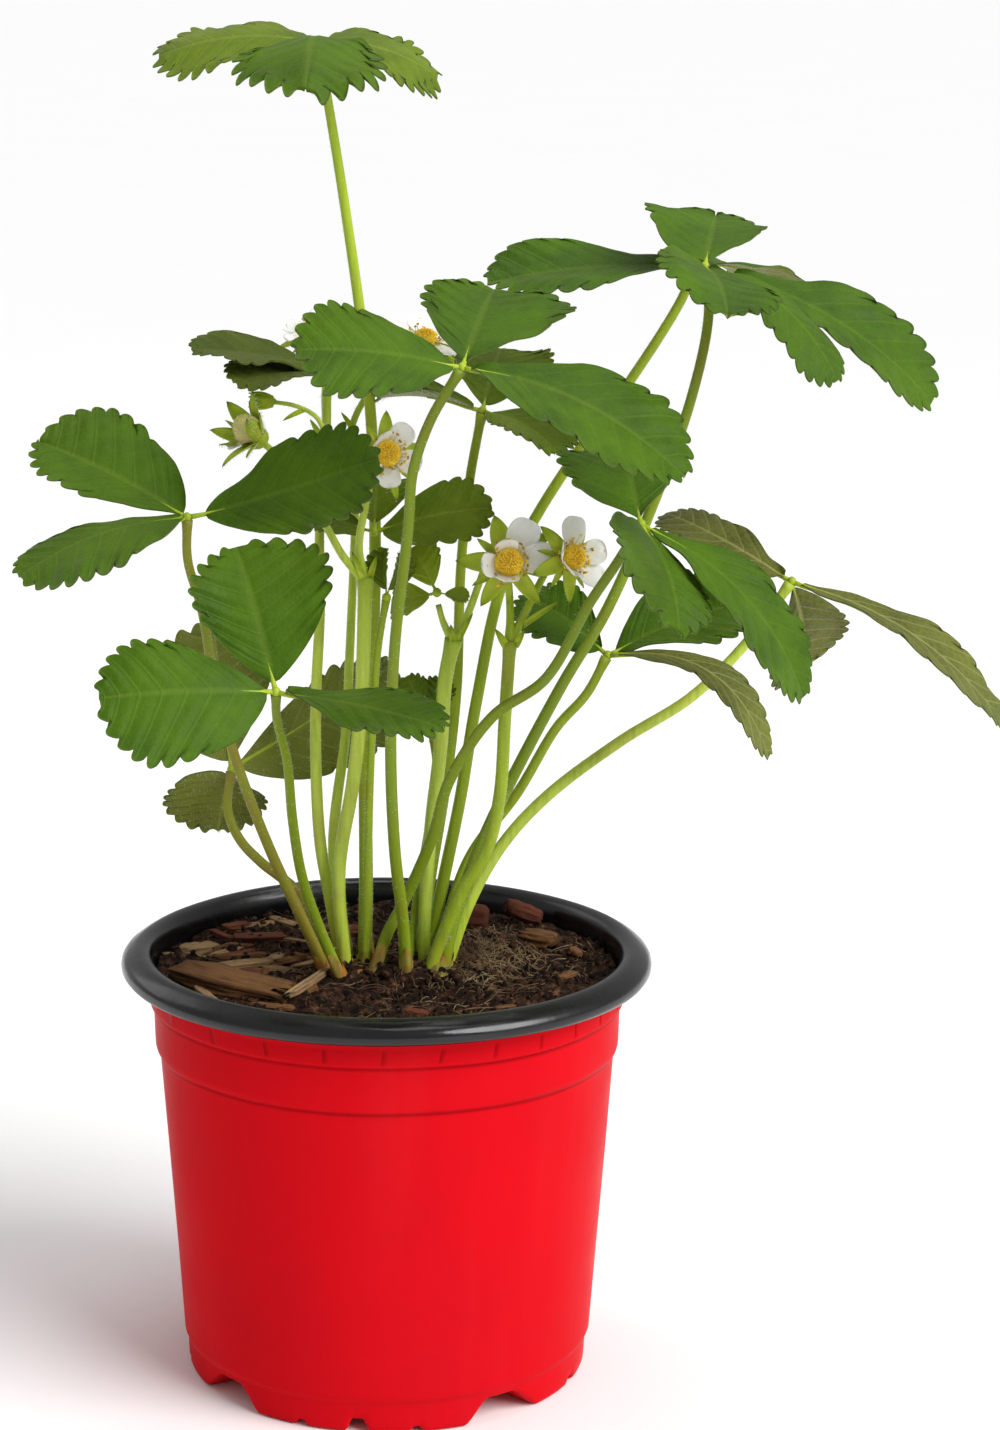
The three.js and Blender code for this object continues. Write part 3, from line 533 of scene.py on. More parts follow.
# Bark chips. Split pieces of pine bark lie half sunk in the peat, brown where weathered and
# pale where freshly torn; each is a long grained sliver with ragged ends.

# Middle, turn and tilt in degrees, size and how pale the wood is
bark_chips = {
    "long": ((-37, -20, 102.5), -28, 4, (34, 11, 4.5), 0.35),
    "sliver": ((-38, -3, 102), 12, -3, (22, 3, 2), 0.9),
    "left": ((-47, 12, 102), 35, 3, (11, 5, 2.5), 0.6),
    "block": ((22, 33, 104), -15, 0, (9, 6, 6), 0.15),
    "right": ((38, 16, 103.5), -38, 0, (11, 6, 3), 0.45),
    "shard": ((35, 35, 105), 20, 24, (11, 4, 4), 0.1),
}
loose_bark = [
    ((-22, -24, 101.8), 32, -4, (13, 4.5, 1.8), 0.5), ((-43, -26, 101.8), -58, 6, (11, 1.8, 1.4), 0.6),
    ((-28, 4, 101.6), 70, 4, (13, 2.6, 1.4), 0.7), ((-32, 22, 101.9), 5, 0, (15, 4, 1.8), 0.3),
    ((-18.5, -20, 103.2), 71, 3, (34, 2.4, 1.6), 0.6), ((-49, -6, 101.9), 80, 3, (10, 3, 1.6), 0.4),
    ((7, -38, 101.3), -20, 2, (7, 3, 1.4), 0.25), ((44, -10, 101.6), 60, 3, (8, 3, 1.6), 0.35),
    ((-12, 30, 101.6), 20, 4, (12, 5, 2), 0.2), ((10, 42, 101.8), -8, 2, (10, 4, 2), 0.5),
    ((-38, 32, 101.8), 40, 4, (9, 4, 2), 0.3), ((-27, -34, 101.5), -12, 1, (12, 2.2, 1.3), 0.4),
    ((47, 10, 101.8), 100, 3, (8, 2.4, 1.4), 0.4), ((28, -34, 101.2), 30, 3, (6, 2, 1), 0.35),
]
scattered_bark = 30


def bark_shape(centre, turn, tilt, size, rand):
    """A split chip: long ridges along it, ends broken off unevenly."""
    rows, columns = 16, 26
    length, width, height = size
    spin = Quaternion((0, 0, 1), math.radians(turn)) @ Quaternion((0, 1, 0), math.radians(tilt))
    ridge = [rand.uniform(-0.26, 0.26) for _ in range(columns)]
    early = [rand.uniform(0, 0.17) for _ in range(columns)]
    late = [rand.uniform(0, 0.17) for _ in range(columns)]
    points, run = [], []
    for row in range(rows):
        for k in range(columns):
            angle = 2 * math.pi * k / columns
            share = early[k] + (1 - early[k] - late[k]) * row / (rows - 1)
            square = max(abs(math.cos(angle)), abs(math.sin(angle))) ** 0.75
            taper = 0.62 + 0.38 * math.sin(math.pi * min(1, max(0, share))) ** 0.5
            wear = 1 + ridge[k] + 0.2 * noise.noise(Vector((share * 5, k * 0.9, centre[0])))
            spot = Vector(((share - 0.5) * length,
                           math.cos(angle) * width / 2 / square * taper * wear,
                           math.sin(angle) * height / 2 / square * taper * wear
                           + 0.05 * length * (share - 0.5) ** 2))
            points.append(tuple(spin @ spot + Vector(centre)))
            run.append((k * (width + height) / 14 + centre[0], share * length + centre[1]))
    return points, ring_faces(0, rows, columns, capped=True), run


def bark_wood(name, dark, mid, pale):
    """Split bark: fine grain along the chip, dark cracks, pale torn fibres."""
    made, tree, shader = material(name, 0.82, specular=0.22)
    mapping = node(tree, "Mapping")
    mapping.inputs["Scale"].default_value = (1.3, 0.09, 1)
    tree.links.new(node(tree, "UVMap", uv_map="run").outputs["UV"], mapping.inputs["Vector"])
    fibre = node(tree, "TexNoise", _Scale=1.0, _Detail=6.0, _Roughness=0.7)
    tree.links.new(mapping.outputs["Vector"], fibre.inputs["Vector"])
    long_grain = fibre.outputs["Fac"]
    colour = ramp(tree, long_grain, [(0.30, dark), (0.48, mid), (0.62, mid), (0.78, pale)])
    colour = tinted(tree, colour, grain(tree, 60, 4), [(0.45, 0.0), (0.7, 0.5)], dark)
    tree.links.new(colour, shader.inputs["Base Color"])
    relief(tree, shader, long_grain, 0.9, 0.0012)
    relief(tree, shader, grain(tree, 900, 3), 0.4, 0.0003)
    return made


def bark_kind(paleness):
    """Which of the three barks a chip is: pale, brown or red."""
    return 0 if paleness > 0.55 else 1 if paleness > 0.3 else 2


brown_bark = bark_wood("bark_brown", (0.030, 0.012, 0.005), (0.21, 0.095, 0.034), (0.46, 0.27, 0.115))
pale_bark = bark_wood("bark_pale", (0.10, 0.05, 0.022), (0.38, 0.24, 0.12), (0.62, 0.47, 0.29))
red_bark = bark_wood("bark_red", (0.035, 0.010, 0.006), (0.19, 0.055, 0.026), (0.36, 0.15, 0.075))
barks = [pale_bark, brown_bark, red_bark]
rand = random.Random(5)
for name, (centre, turn, tilt, size, paleness) in bark_chips.items():
    points, faces, run = bark_shape(centre, turn, tilt, size, rand)
    finish = barks[bark_kind(paleness)]
    piece(f"bark_chip_{name}", points, faces, [finish], [f"bark_{name}"], uv=run)
for _ in range(scattered_bark):
    x, y = rand.uniform(-52, -14), rand.uniform(-8, 42)
    if math.hypot(x, y) < 51:
        size = (rand.uniform(7, 19), rand.uniform(1.4, 4.0), rand.uniform(1.0, 1.8))
        loose_bark.append(((x, y, soil_top(x, y) + 0.4), rand.uniform(-60, 60), rand.uniform(-5, 5), size,
                           rand.uniform(0.1, 0.72)))
points, faces, run, picks = [], [], [], []
for centre, turn, tilt, size, paleness in loose_bark:
    more, sides, along = bark_shape(centre, turn, tilt, size, rand)
    faces += [tuple(len(points) + k for k in side) for side in sides]
    picks += [bark_kind(paleness)] * len(sides)
    points += more
    run += along
piece("bark_shreds", points, faces, barks, picks=picks, uv=run)


# Crown. The short rootstock in two lobes is all but buried. It is woody and knobbly, in dry
# green-brown to rusty skin, and the stalks crowd out of its top.

# One lobe from its foot up, as (radius, height)
crown_profile = [(0.0, 86), (7.5, 87), (9.8, 98), (9.3, 100.2), (8.2, 102.0), (5.5, 103.3), (0.0, 103.8)]


def crown_body():
    """Two knobbly lobes joined low down."""
    turns, rows, points, faces = 72, 34, [], []
    line = np.array(crown_profile)
    for x, y in crown_lobes:
        faces += ring_faces(len(points), rows, turns)
        for step in np.linspace(0, len(line) - 1, rows):
            radius, height = (np.interp(step, range(len(line)), line[:, k]) for k in (0, 1))
            for k in range(turns):
                angle = 2 * math.pi * k / turns
                knob = 1 + 0.07 * math.sin(9 * angle + x) + 0.16 * noise.noise(
                    Vector((math.cos(angle) * 2, math.sin(angle) * 2, height / 3 + x)))
                points.append((x + radius * knob * math.cos(angle), y + radius * knob * math.sin(angle),
                               height + 0.5 * noise.noise(Vector((x + radius, angle * 3, 4)))))
    return points, faces


def papery():
    """Dry stipule skin: green-brown, streaked lengthwise, orange-brown in places."""
    made, tree, shader = material("stipule_skin", 0.55, specular=0.35, glow=0.05)
    streaks = grain(tree, 260, 5, 0.6, stretch=(1, 1, 0.2))
    colour = ramp(tree, streaks, [(0.3, (0.06, 0.028, 0.010)), (0.46, (0.24, 0.17, 0.030)),
                                  (0.62, (0.36, 0.36, 0.045)), (0.8, (0.50, 0.46, 0.14))])
    colour = tinted(tree, colour, grain(tree, 130, 3), [(0.48, 0.0), (0.62, 0.85)], (0.40, 0.10, 0.018))
    tree.links.new(colour, shader.inputs["Base Color"])
    relief(tree, shader, streaks, 0.6, 0.0005)
    return made


stipule_skin = papery()
points, faces = crown_body()
piece("crown_rootstock", points, faces, [stipule_skin], ["crown"])


# Leaf stalks. Eleven long petioles rise from the crown, each a juicy yellow-green rod with a
# shallow groove and fine white hairs, rosy on the left, wrapped in a papery sheath at its base.

hub_radius = 1.3
stalk_sides = 14
stalk_spacing = 1.5
# Route from root to knot in mm, radii at both ends, and the middle of the knot
stalk_routes = {
    "top": ([(-5.5, -1, 98), (-5, 0, 120), (-5, 1, 155), (-3, 4, 189), (-3, 8, 222), (-5, 8, 250),
             (-10, 7, 287), (-14, 6, 312)], (1.8, 1.05), (-16, 5, 324)),
    "upper_right": ([(13, -7, 98), (16.5, -6, 115), (22, -5, 131), (28, -5, 145), (42, -9, 174),
                     (52, -11, 192), (61, -13, 214), (71, -11, 242), (75, -9, 262)], (1.6, 1.15),
                    (74, -8, 273)),
    "back_right": ([(9.2, 3, 98), (14, 4, 122), (18, 5, 142), (22, 6, 167), (28, 8, 195), (36, 10, 211),
                    (47, 12, 228), (58, 13, 243), (70, 14, 262)], (1.6, 1.15), (74, 14, 271)),
    "centre": ([(5, -8.5, 98), (4, -12.5, 116), (2, -17, 135), (1, -22, 162), (2, -28, 188), (5, -34, 216),
                (6, -36, 229), (10, -37, 241)], (1.5, 1.15), (17, -38, 253)),
    "centre_back": ([(7.2, -0.3, 98), (11, 1.5, 125), (14.5, 3, 147), (17, 6, 169), (18, 8, 199),
                     (20, 9, 220)], (1.5, 1.1), (23, 10, 237)),
    "left": ([(-13, -6.5, 98), (-21, -9, 117), (-28, -12, 134), (-35, -17, 155), (-40, -21, 175),
              (-43, -24, 195), (-46, -26, 207)], (1.45, 1.05), (-46, -26, 217)),
    "front_left": ([(-9.5, -11, 98), (-16, -15, 115), (-20, -20, 129), (-22, -28, 145), (-23, -37, 162),
                    (-25, -46, 174)], (1.4, 1), (-25, -50, 181)),
    "low_left": ([(-13, -2, 98), (-21, 0, 119), (-31, 3, 127), (-36, 5, 132), (-39, 7, 139)], (1.5, 1.1),
                 (-38, 8, 149)),
    "front_right": ([(-4, -8.5, 98), (0, -7, 111), (3.5, -7, 118), (11, -12, 137), (15, -16, 152),
                     (25, -22, 169), (37, -27, 179), (47, -31, 198), (53, -34, 208)], (1.5, 1.15),
                    (58, -36, 217)),
    "right": ([(13.5, -3.2, 98), (20, -1, 117), (28, 2, 131), (39, 4, 143), (57, 4, 157), (74, 4, 168),
               (87, 5, 181)], (1.6, 1.2), (98, 7, 196)),
    "mid_right": ([(11.2, -0.6, 98), (20, 3.5, 127), (32, 1, 145), (41, -3, 162), (48, -6, 171)],
                  (1.5, 1.1), (53, -4, 180)),
}
hair = random.Random(23)
# Hair and sheaths of all the stalks are gathered here and made into pieces at the end
down_points, down_faces = [], []
sheath_points, sheath_faces = [], []


def to_hub(route, hub):
    """The route with its end run into the knot where the leaflets meet."""
    back = (Vector(route[-1]) - Vector(hub)).normalized()
    return [*route, tuple(Vector(hub) + back * 0.5 * hub_radius)]


def hairs(roots, outs, length, rand, width=0.032):
    """Three-sided tapering hairs standing on a surface."""
    for root, out in zip(roots, outs):
        out = Vector(out) + Vector((rand.uniform(-0.4, 0.4), rand.uniform(-0.4, 0.4),
                                    rand.uniform(-0.3, 0.4)))
        out.normalize()
        side = out.orthogonal().normalized()
        other = out.cross(side)
        long = length * rand.uniform(0.6, 1.25)
        first = len(down_points)
        for k in range(3):
            angle = 2 * math.pi * k / 3
            foot = Vector(root) + width * (math.cos(angle) * side + math.sin(angle) * other)
            down_points.append(tuple(foot))
            down_faces.append((first + k, first + (k + 1) % 3, first + 3))
        down_points.append(tuple(Vector(root) + out * long))


def hairs_on_rod(line, radii, per_mm, length):
    """Hairs all round a stalk, so many to each millimetre of it."""
    _, across, up = frames_along(line)
    run = np.linalg.norm(np.diff(line, axis=0), axis=1).sum()
    roots, outs = [], []
    for _ in range(int(run * per_mm)):
        i = hair.randrange(len(line) - 1)
        share, angle = hair.random(), hair.uniform(0, 2 * math.pi)
        out = math.cos(angle) * across[i] + math.sin(angle) * up[i]
        centre = line[i] + (line[i + 1] - line[i]) * share
        roots.append(centre + out * radii[i] * 0.96)
        outs.append(out)
    hairs(roots, outs, length, hair)


def run_along(tree):
    """A piece's own run, as a whole and split into its way round and its way along."""
    run = node(tree, "UVMap", uv_map="run").outputs["UV"]
    split = node(tree, "SeparateXYZ")
    tree.links.new(run, split.inputs[0])
    return run, split.outputs["X"], split.outputs["Y"]


def stalk_skin(name, pale, mid, dark, red=0.0):
    """Juicy stalk: yellow-green, streaked lengthwise, paler low down and reddish where sunlit."""
    made, tree, shader = material(name, 0.45, specular=0.28, sheen=0.03, glow=0.08)
    shader.inputs["Subsurface Radius"].default_value = (0.5, 0.8, 0.15)
    shader.inputs["Subsurface Scale"].default_value = 0.0012
    shader.inputs["Sheen Tint"].default_value = (0.9, 1.0, 0.8, 1)
    _, _, along = run_along(tree)
    colour = ramp(tree, along, [(0.0, (0.30, 0.24, 0.03)), (0.05, pale), (0.25, mid), (0.8, mid),
                                (1.0, dark)])
    streaks = grain(tree, 900, 3, 0.6, stretch=(1, 1, 0.06))
    colour = tinted(tree, colour, streaks, [(0.4, 0.0), (0.7, 0.45)], (0.20, 0.30, 0.03))
    rosy = [(0.5 - 0.26 * red, 0.0), (0.74 - 0.14 * red, 0.28 + 0.26 * red)]
    colour = tinted(tree, colour, grain(tree, 55, 3), rosy, (0.26, 0.085, 0.03))
    tree.links.new(colour, shader.inputs["Base Color"])
    relief(tree, shader, streaks, 0.35, 0.0003)
    return made


def down():
    """Fine white plant hair."""
    made, tree, shader = material("white_down", 0.5, specular=0.4, sheen=0.3)
    colour = ramp(tree, grain(tree, 300, 2), [(0.3, (0.62, 0.66, 0.50)), (0.7, (0.86, 0.88, 0.78))])
    tree.links.new(colour, shader.inputs["Base Color"])
    return made


white_down = down()
stalk_green = stalk_skin("stalk_green", (0.40, 0.52, 0.020), (0.36, 0.47, 0.018), (0.26, 0.35, 0.012))
stalk_deep = stalk_skin("stalk_deep", (0.27, 0.38, 0.008), (0.20, 0.28, 0.006), (0.17, 0.22, 0.006))
stalk_rosy = stalk_skin("stalk_rosy", (0.30, 0.40, 0.012), (0.24, 0.31, 0.010), (0.20, 0.25, 0.010), 1.0)
stalk_pale = stalk_skin("stalk_pale", (0.48, 0.62, 0.035), (0.54, 0.66, 0.08), (0.36, 0.50, 0.03))


def sheath(line, radius, height):
    """A papery stipule sleeve: wide at the crown, split into two points at the top."""
    _, across, up = frames_along(line)
    turns, rows = 18, 7
    sheath_faces.extend(ring_faces(len(sheath_points), rows, turns))
    turn = hair.uniform(0, 2 * math.pi)
    for row in range(rows):
        share = row / (rows - 1)
        for k in range(turns):
            angle = 2 * math.pi * k / turns
            reach = height * (0.45 + 0.55 * abs(math.cos(angle - turn)) ** 1.5) * share
            i = min(len(line) - 1, reach / stalk_spacing)
            low = int(i)
            high = min(low + 1, len(line) - 1)
            centre = line[low] + (line[high] - line[low]) * (i - low)
            wide = radius * (1.55 - 0.4 * share) + 0.25 * math.sin(5 * angle + turn) * share
            out = math.cos(angle) * across[low] + math.sin(angle) * up[low]
            sheath_points.append(centre + wide * out)


def even_line(route, spacing, fewest):
    """Points along a route at an even spacing, their shares of its length, and that length."""
    _, length = curve_points(route, 2)
    count = max(fewest, int(length / spacing))
    return curve_points(route, count)[0], np.linspace(0, 1, count), length


def dress_stalk(name, route, radii, skin, nodes, per_mm=2.6):
    """One rod, swollen a little under its knot, with its hair."""
    line, share, length = even_line(route, stalk_spacing, 12)
    swell = 1 + 0.28 * np.exp(-((1 - share) * length / 2.2) ** 2)
    thick = (radii[0] + (radii[1] - radii[0]) * share) * swell
    points, faces, along = tube(line, thick, stalk_sides, groove=0.14)
    piece(name, points, faces, [skin], nodes, uv=along)
    hairs_on_rod(line[4:], thick[4:], per_mm, 1.0)
    return line[1:], thick[0]


stalk_skins = {"left": stalk_rosy, "low_left": stalk_rosy, "front_left": stalk_deep, "centre": stalk_deep,
               "front_right": stalk_deep, "upper_right": stalk_deep, "right": stalk_pale}
for name, (route, radii, hub) in stalk_routes.items():
    skin = stalk_skins.get(name, stalk_green)
    foot, radius = dress_stalk(f"petiole_{name}", to_hub(route, hub), radii, skin, [f"leaf_stalk_{name}"])
    sheath(foot, radius, 7 + 4 * hair.random())


# Leaf blades. Each leaf is three toothed leaflets on one knot: dark green and quilted between
# sunken side veins above, paler with raised veins below, with a lighter midrib and edge.

teeth = 8
rows_per_tooth = 8
blade_columns = 17
knot_share = 0.85
# Where on a leaf's run its stalks and knot take their colour
stalk_place = (0.5, 0.6)
first_tooth, last_tooth, tooth_peak = 0.68, 3.0, 0.574
base_power, tip_power, side_lean, side_skew, lobe_share = 0.8, 1.15, 0.3, 0.16, 0.09
# Knot, then each leaflet's tip, the way its upper side looks, width, fold in degrees, arch as a
# share of its length, stalk, and the share of the width moved to its right half
leaf_tables = {
    "top": ((-16, 5, 324), [
        ((-18, -33, 315), (0, -1, 3), 32, -12, 0.14, 2, 0), ((-53, 4, 321), (0, -2, 5), 28, -8, 0.08, 2, 0),
        ((12, 8, 316), (0, -2, 5), 28, -8, 0.1, 2, 0)]),
    "upper_right": ((74, -8, 273), [
        ((76, -44, 265), (1, -1, 3), 28, 15, 0.06, 2, 0), ((79, 20, 283), (1, -5, 8), 28, 8, 0.06, 2, 0),
        ((103, -27, 249), (1, -1, 2), 18, -8, 0.13, 2, 0)]),
    "back_right": ((74, 14, 271), [
        ((24, 8, 268), (0, -1, 3), 26, 12, 0.04, 2, 0), ((130, 4, 240), (1, -2, 4), 28, 12, 0.1, 8, 0),
        ((96, 48, 260), (0, -1, 5), 28, 12, 0.1, 2, 0)]),
    "centre": ((17, -38, 253), [
        ((-20, -46, 258), (0, -2, 3), 30, 6, 0.05, 2, 0), ((25, -8, 268), (0, -2, 3), 34, 8, 0.06, 2, 0.18),
        ((66, -56, 231), (1, -2, 3), 30, 8, 0.11, 2, 0)]),
    "centre_back": ((23, 10, 237), [
        ((-2, 14, 240), (0, 0, 1), 24, 12, 0.08, 2, 0), ((40, -8, 230), (0, 0, 1), 24, 12, 0.08, 2, 0),
        ((28, 30, 250), (0, -1, 2), 26, 12, 0.06, 2, 0)]),
    "left": ((-46, -26, 217), [
        ((-81, -14, 233), (0, -2, 3), 27, 8, 0.04, 1, 0.2),
        ((-83, -46, 207), (0, -1, 5), 23, -4, 0.08, 0.8, -0.25),
        ((-2, -30, 231.5), (0, -1, 1), 27, 6, -0.03, 4, 0)]),
    "front_left": ((-25, -50, 181), [
        ((-34, -40, 212.5), (0, -3, 2), 31, 4, 0.06, 2, 0.18),
        ((-64, -61, 182), (0, -3, 2), 30, 4, 0.06, 2, -0.08),
        ((13, -60, 175), (0, -1, 6), 25, -2, 0.03, 2, 0)]),
    "low_left": ((-38, 8, 149), [
        ((-43, 24, 182), (0, 1, -2), 29, 12, 0.06, 2, 0), ((-42, 18, 131), (0, 2, 3), 25, 12, 0.06, 2, 0),
        ((1, 26, 171), (0, 2, -1), 23, 12, 0.06, 2, -0.2)]),
    "front_right": ((58, -36, 217), [
        ((55, -10, 231), (0, -2, 3), 28, 12, 0.06, 2, 0),
        ((65, -63, 198), (4, -3, 4), 29, 12, 0.08, 2, 0.28),
        ((95, -46, 179), (5, -4, 6), 25, 12, 0.13, 2, 0.15)]),
    "right": ((98, 7, 196), [
        ((149, -2, 163), (0, -1, 5), 19, 12, 0.1, 2, 0), ((69, 26, 210), (0, -1, 4), 21, 4, 0.03, 2, 0),
        ((103, 27, 171), (1, -3, 1), 24, 12, 0.08, 2, 0)]),
    "mid_right": ((53, -4, 180), [
        ((91, -16, 158), (0, -1, 5), 15, 12, 0.24, 2, 0), ((34, 7, 193), (0, -1, 2), 20, 12, 0.06, 2, 0),
        ((88, 12, 190), (0, -1, 2), 27, 12, 0.06, 2, 0)]),
}


def reach_of(t):
    """How far towards the tip the edge has come at t, from 0 at the foot to pi at the tip."""
    return ((1 - np.cos(t)) / 2) ** 0.5


def rib_of(t):
    """Where on the midrib the side vein for an edge point starts, further back."""
    behind = t - 0.75 * (1 - (t / math.pi) ** 4)
    return reach_of(np.clip(np.maximum(behind, 0.25 * t), 0, math.pi))


def tooth_shape(phase):
    """A broad rounded tooth that leans a little forward."""
    return np.sin(math.pi * phase**1.25) ** 0.55


def leaflet_axes(hub, tip, face):
    """Forward, upward and sideways directions of a blade, and its length."""
    forward = Vector(tip) - Vector(hub)
    length = forward.length
    forward.normalize()
    upward = Vector(face)
    upward = (upward - upward.dot(forward) * forward).normalized()
    return forward, upward, forward.cross(upward), length


def inwardness(hub, aside, others):
    """How far a leaflet's right half looks towards the leaf's other leaflets, from -1 to 1."""
    towards = sum(((Vector(tip) - Vector(hub)).normalized() for tip in others), Vector((0, 0, 0)))
    return min(1.0, max(-1.0, towards.dot(aside)))


def join(whole, part):
    """Adds a part's points, faces, picks and run to those of the whole piece."""
    for gathered, more in zip(whole, part):
        gathered.extend(more)


def blade_faces(index, rows, below):
    """Faces and picks of a leaflet's upper side, lower side and edge, from the places of its
    upper points; each lower point stands so many places below its upper one."""
    faces, picks, last = [], [], blade_columns - 1
    for side in (1, -1):
        for j in range(rows - 1):
            for c in range(last):
                quad = [index[side, j, c], index[side, j, c + 1], index[side, j + 1, c + 1],
                        index[side, j + 1, c]]
                quad = quad if side == 1 else quad[::-1]
                faces.append(tuple(quad[::-1]))
                faces.append(tuple(k + below for k in quad))
                picks += [0, 1]
            edge, after = index[side, j, last], index[side, j + 1, last]
            strip = (edge, after, after + below, edge + below)
            faces.append(strip if side == -1 else strip[::-1])
            picks.append(0)
    for j in (0, rows - 1):
        ring = [index[-1, j, c] for c in range(last, 0, -1)]
        ring += [index[1, j, c] for c in range(blade_columns)]
        for first, second in zip(ring, ring[1:]):
            strip = (first, second, second + below, first + below)
            faces.append(strip if j == 0 else strip[::-1])
            picks.append(0)
    return faces, picks


def stalk_part(line, radii, sides, start):
    """A rod in the stalk's finish that belongs to a leaf: points, faces, picks and its run."""
    rod, faces, _ = tube(np.array(line), radii, sides, start=start)
    return rod, faces, [2] * len(faces), [stalk_place] * len(rod)


def leaflet_mesh(hub, others, tip, face, width, fold, arch, stalk, bias, count, seed, thick=0.36,
                 ruffle=1.0, pleat=0.0, bite=1.0):
    """A fine leaflet in the CAD leaflet's own axes: rows follow the side veins from the midrib
    to the edge, so quilting, veins and teeth all line up."""
    forward, upward, aside, length = leaflet_axes(hub, tip, face)
    inward = inwardness(hub, aside, others)
    hub, forward, upward, aside = (np.array(way) for way in (hub, forward, upward, aside))
    blade = length - stalk
    pitch = (last_tooth - first_tooth) / count
    toothed = first_tooth + np.arange(count * rows_per_tooth) / rows_per_tooth * pitch
    rows = np.concatenate([np.linspace(0.03, first_tooth, 12)[:-1], toothed,
                           np.linspace(last_tooth, math.pi, 4)])
    phase = (rows - first_tooth) / pitch
    inside = (rows > first_tooth) & (rows < last_tooth)
    tooth = np.where(inside, tooth_shape(np.clip(phase % 1.0, 0, 1)), 0.0)
    depth = bite * min(0.35 + 0.066 * width, 0.12 * width)
    uneven = np.array([0.85 + 0.35 * noise.noise(Vector((math.floor(k) * 1.7, seed, 2))) for k in phase])
    rib = stalk + rib_of(rows) * blade
    reach = np.linspace(0, 1, blade_columns) ** 0.92
    veins = np.cos(2 * math.pi * (phase - tooth_peak)) * np.clip((rows - 0.5) / 0.4, 0, 1)
    veins *= np.clip((math.pi - rows) / 0.5, 0, 1)
    quilt = 0.0045 * width
    points, run, index = [], [], {}
    slope = math.tan(math.radians(fold))
    for side in (1, -1):
        inner = side * inward
        lobe = lobe_share * max(0, -inner) * np.exp(-(((rows - 0.6) / 0.35) ** 2))
        power = np.where(rows < math.pi / 2, base_power + side_lean * inner, tip_power)
        edge_along = stalk + (reach_of(rows) - lobe) * blade
        edge_across = np.abs(np.sin(rows)) ** power * width / 2 * (1 - side_skew * inner)
        edge_across = edge_across * (1 + side * bias) + 0.25
        ahead, outer = np.gradient(edge_along, rows), np.gradient(edge_across, rows)
        norm = np.hypot(ahead, outer) + 1e-6
        starts = 0.86 + 0.24 * inner
        fade = np.clip((rows - starts) / 0.3, 0, 1)
        shift = (tooth - 0.6) * depth * fade * inside * uneven
        for j in range(len(rows)):
            for c, s in enumerate(reach):
                if side == -1 and c == 0:
                    index[side, j, c] = index[1, j, 0]
                    continue
                margin = s ** 4
                along = rib[j] + (edge_along[j] - rib[j]) * s ** 1.12
                along -= margin * shift[j] * outer[j] / norm[j]
                along += margin * max(shift[j], 0) * 0.3
                across = edge_across[j] * s + margin * shift[j] * ahead[j] / norm[j]
                share = along / length
                lift = 4 * arch * length * share * (1 - share)
                lift += slope * (math.sqrt(across * across + 0.8) - 0.89)
                open_part = math.sin(math.pi * s) ** 0.7 if 0 < s < 1 else 0
                lift -= (quilt + pleat) * veins[j] * (open_part + 0.25 * margin)
                lift -= 0.3 * math.exp(-((across / 0.5) ** 2)) * min(1, blade / 25)
                wave = noise.noise(Vector((along / 12 + seed * 3.7, side * across / 10, seed)))
                lift += ruffle * wave * 2.6 * s ** 1.4 * min(1, width / 22)
                lift += 0.22 * noise.noise(Vector((along / 3.2, side * across / 3.2, seed + 5))) * s
                lift -= margin * tooth[j] * 0.4 * fade[j]
                index[side, j, c] = len(points)
                points.append(hub + along * forward + lift * upward + side * across * aside)
                run.append((0.5 + side * 0.5 * s, max(0, phase[j] / count)))
    top_count = len(points)
    points += [point - upward * thick for point in points]
    run += run
    faces, picks = blade_faces(index, len(rows), top_count)
    # the leaflet's own short stalk runs from the knot under the blade, into its midrib
    line = []
    for share in np.linspace(0, 1, 12):
        along = 0.2 + (stalk + 0.5 * blade - 0.2) * share
        drop = -0.1 - 0.62 * min(1, along / (stalk + 2))
        part = along / length
        line.append(hub + along * forward + (4 * arch * length * part * (1 - part) + drop) * upward)
    radii = np.interp(np.linspace(0, 1, 12), [0, 0.15, 1], [0.7, 0.55, 0.16]) * min(1, width / 14)
    join((points, faces, picks, run), stalk_part(line, radii, 8, len(points)))
    return points, faces, picks, run, top_count


def vein_masks(tree):
    """How near a point is to a side vein and to the midrib, from the leaflet's own run."""
    _, over, along = run_along(tree)
    across = sums(tree, "ABSOLUTE", sums(tree, "SUBTRACT", over, 0.5))
    phase = sums(tree, "SUBTRACT", sums(tree, "MULTIPLY", along, float(teeth)), tooth_peak - 0.5)
    side_phase = sums(tree, "FRACT", phase)
    off_vein = sums(tree, "ABSOLUTE", sums(tree, "SUBTRACT", side_phase, 0.5))
    side_vein = ramp(tree, off_vein, [(0.0, 1.0), (0.035, 0.75), (0.10, 0.0)])
    midrib = ramp(tree, across, [(0.0, 1.0), (0.012, 0.9), (0.035, 0.0)])
    return across, side_vein, midrib


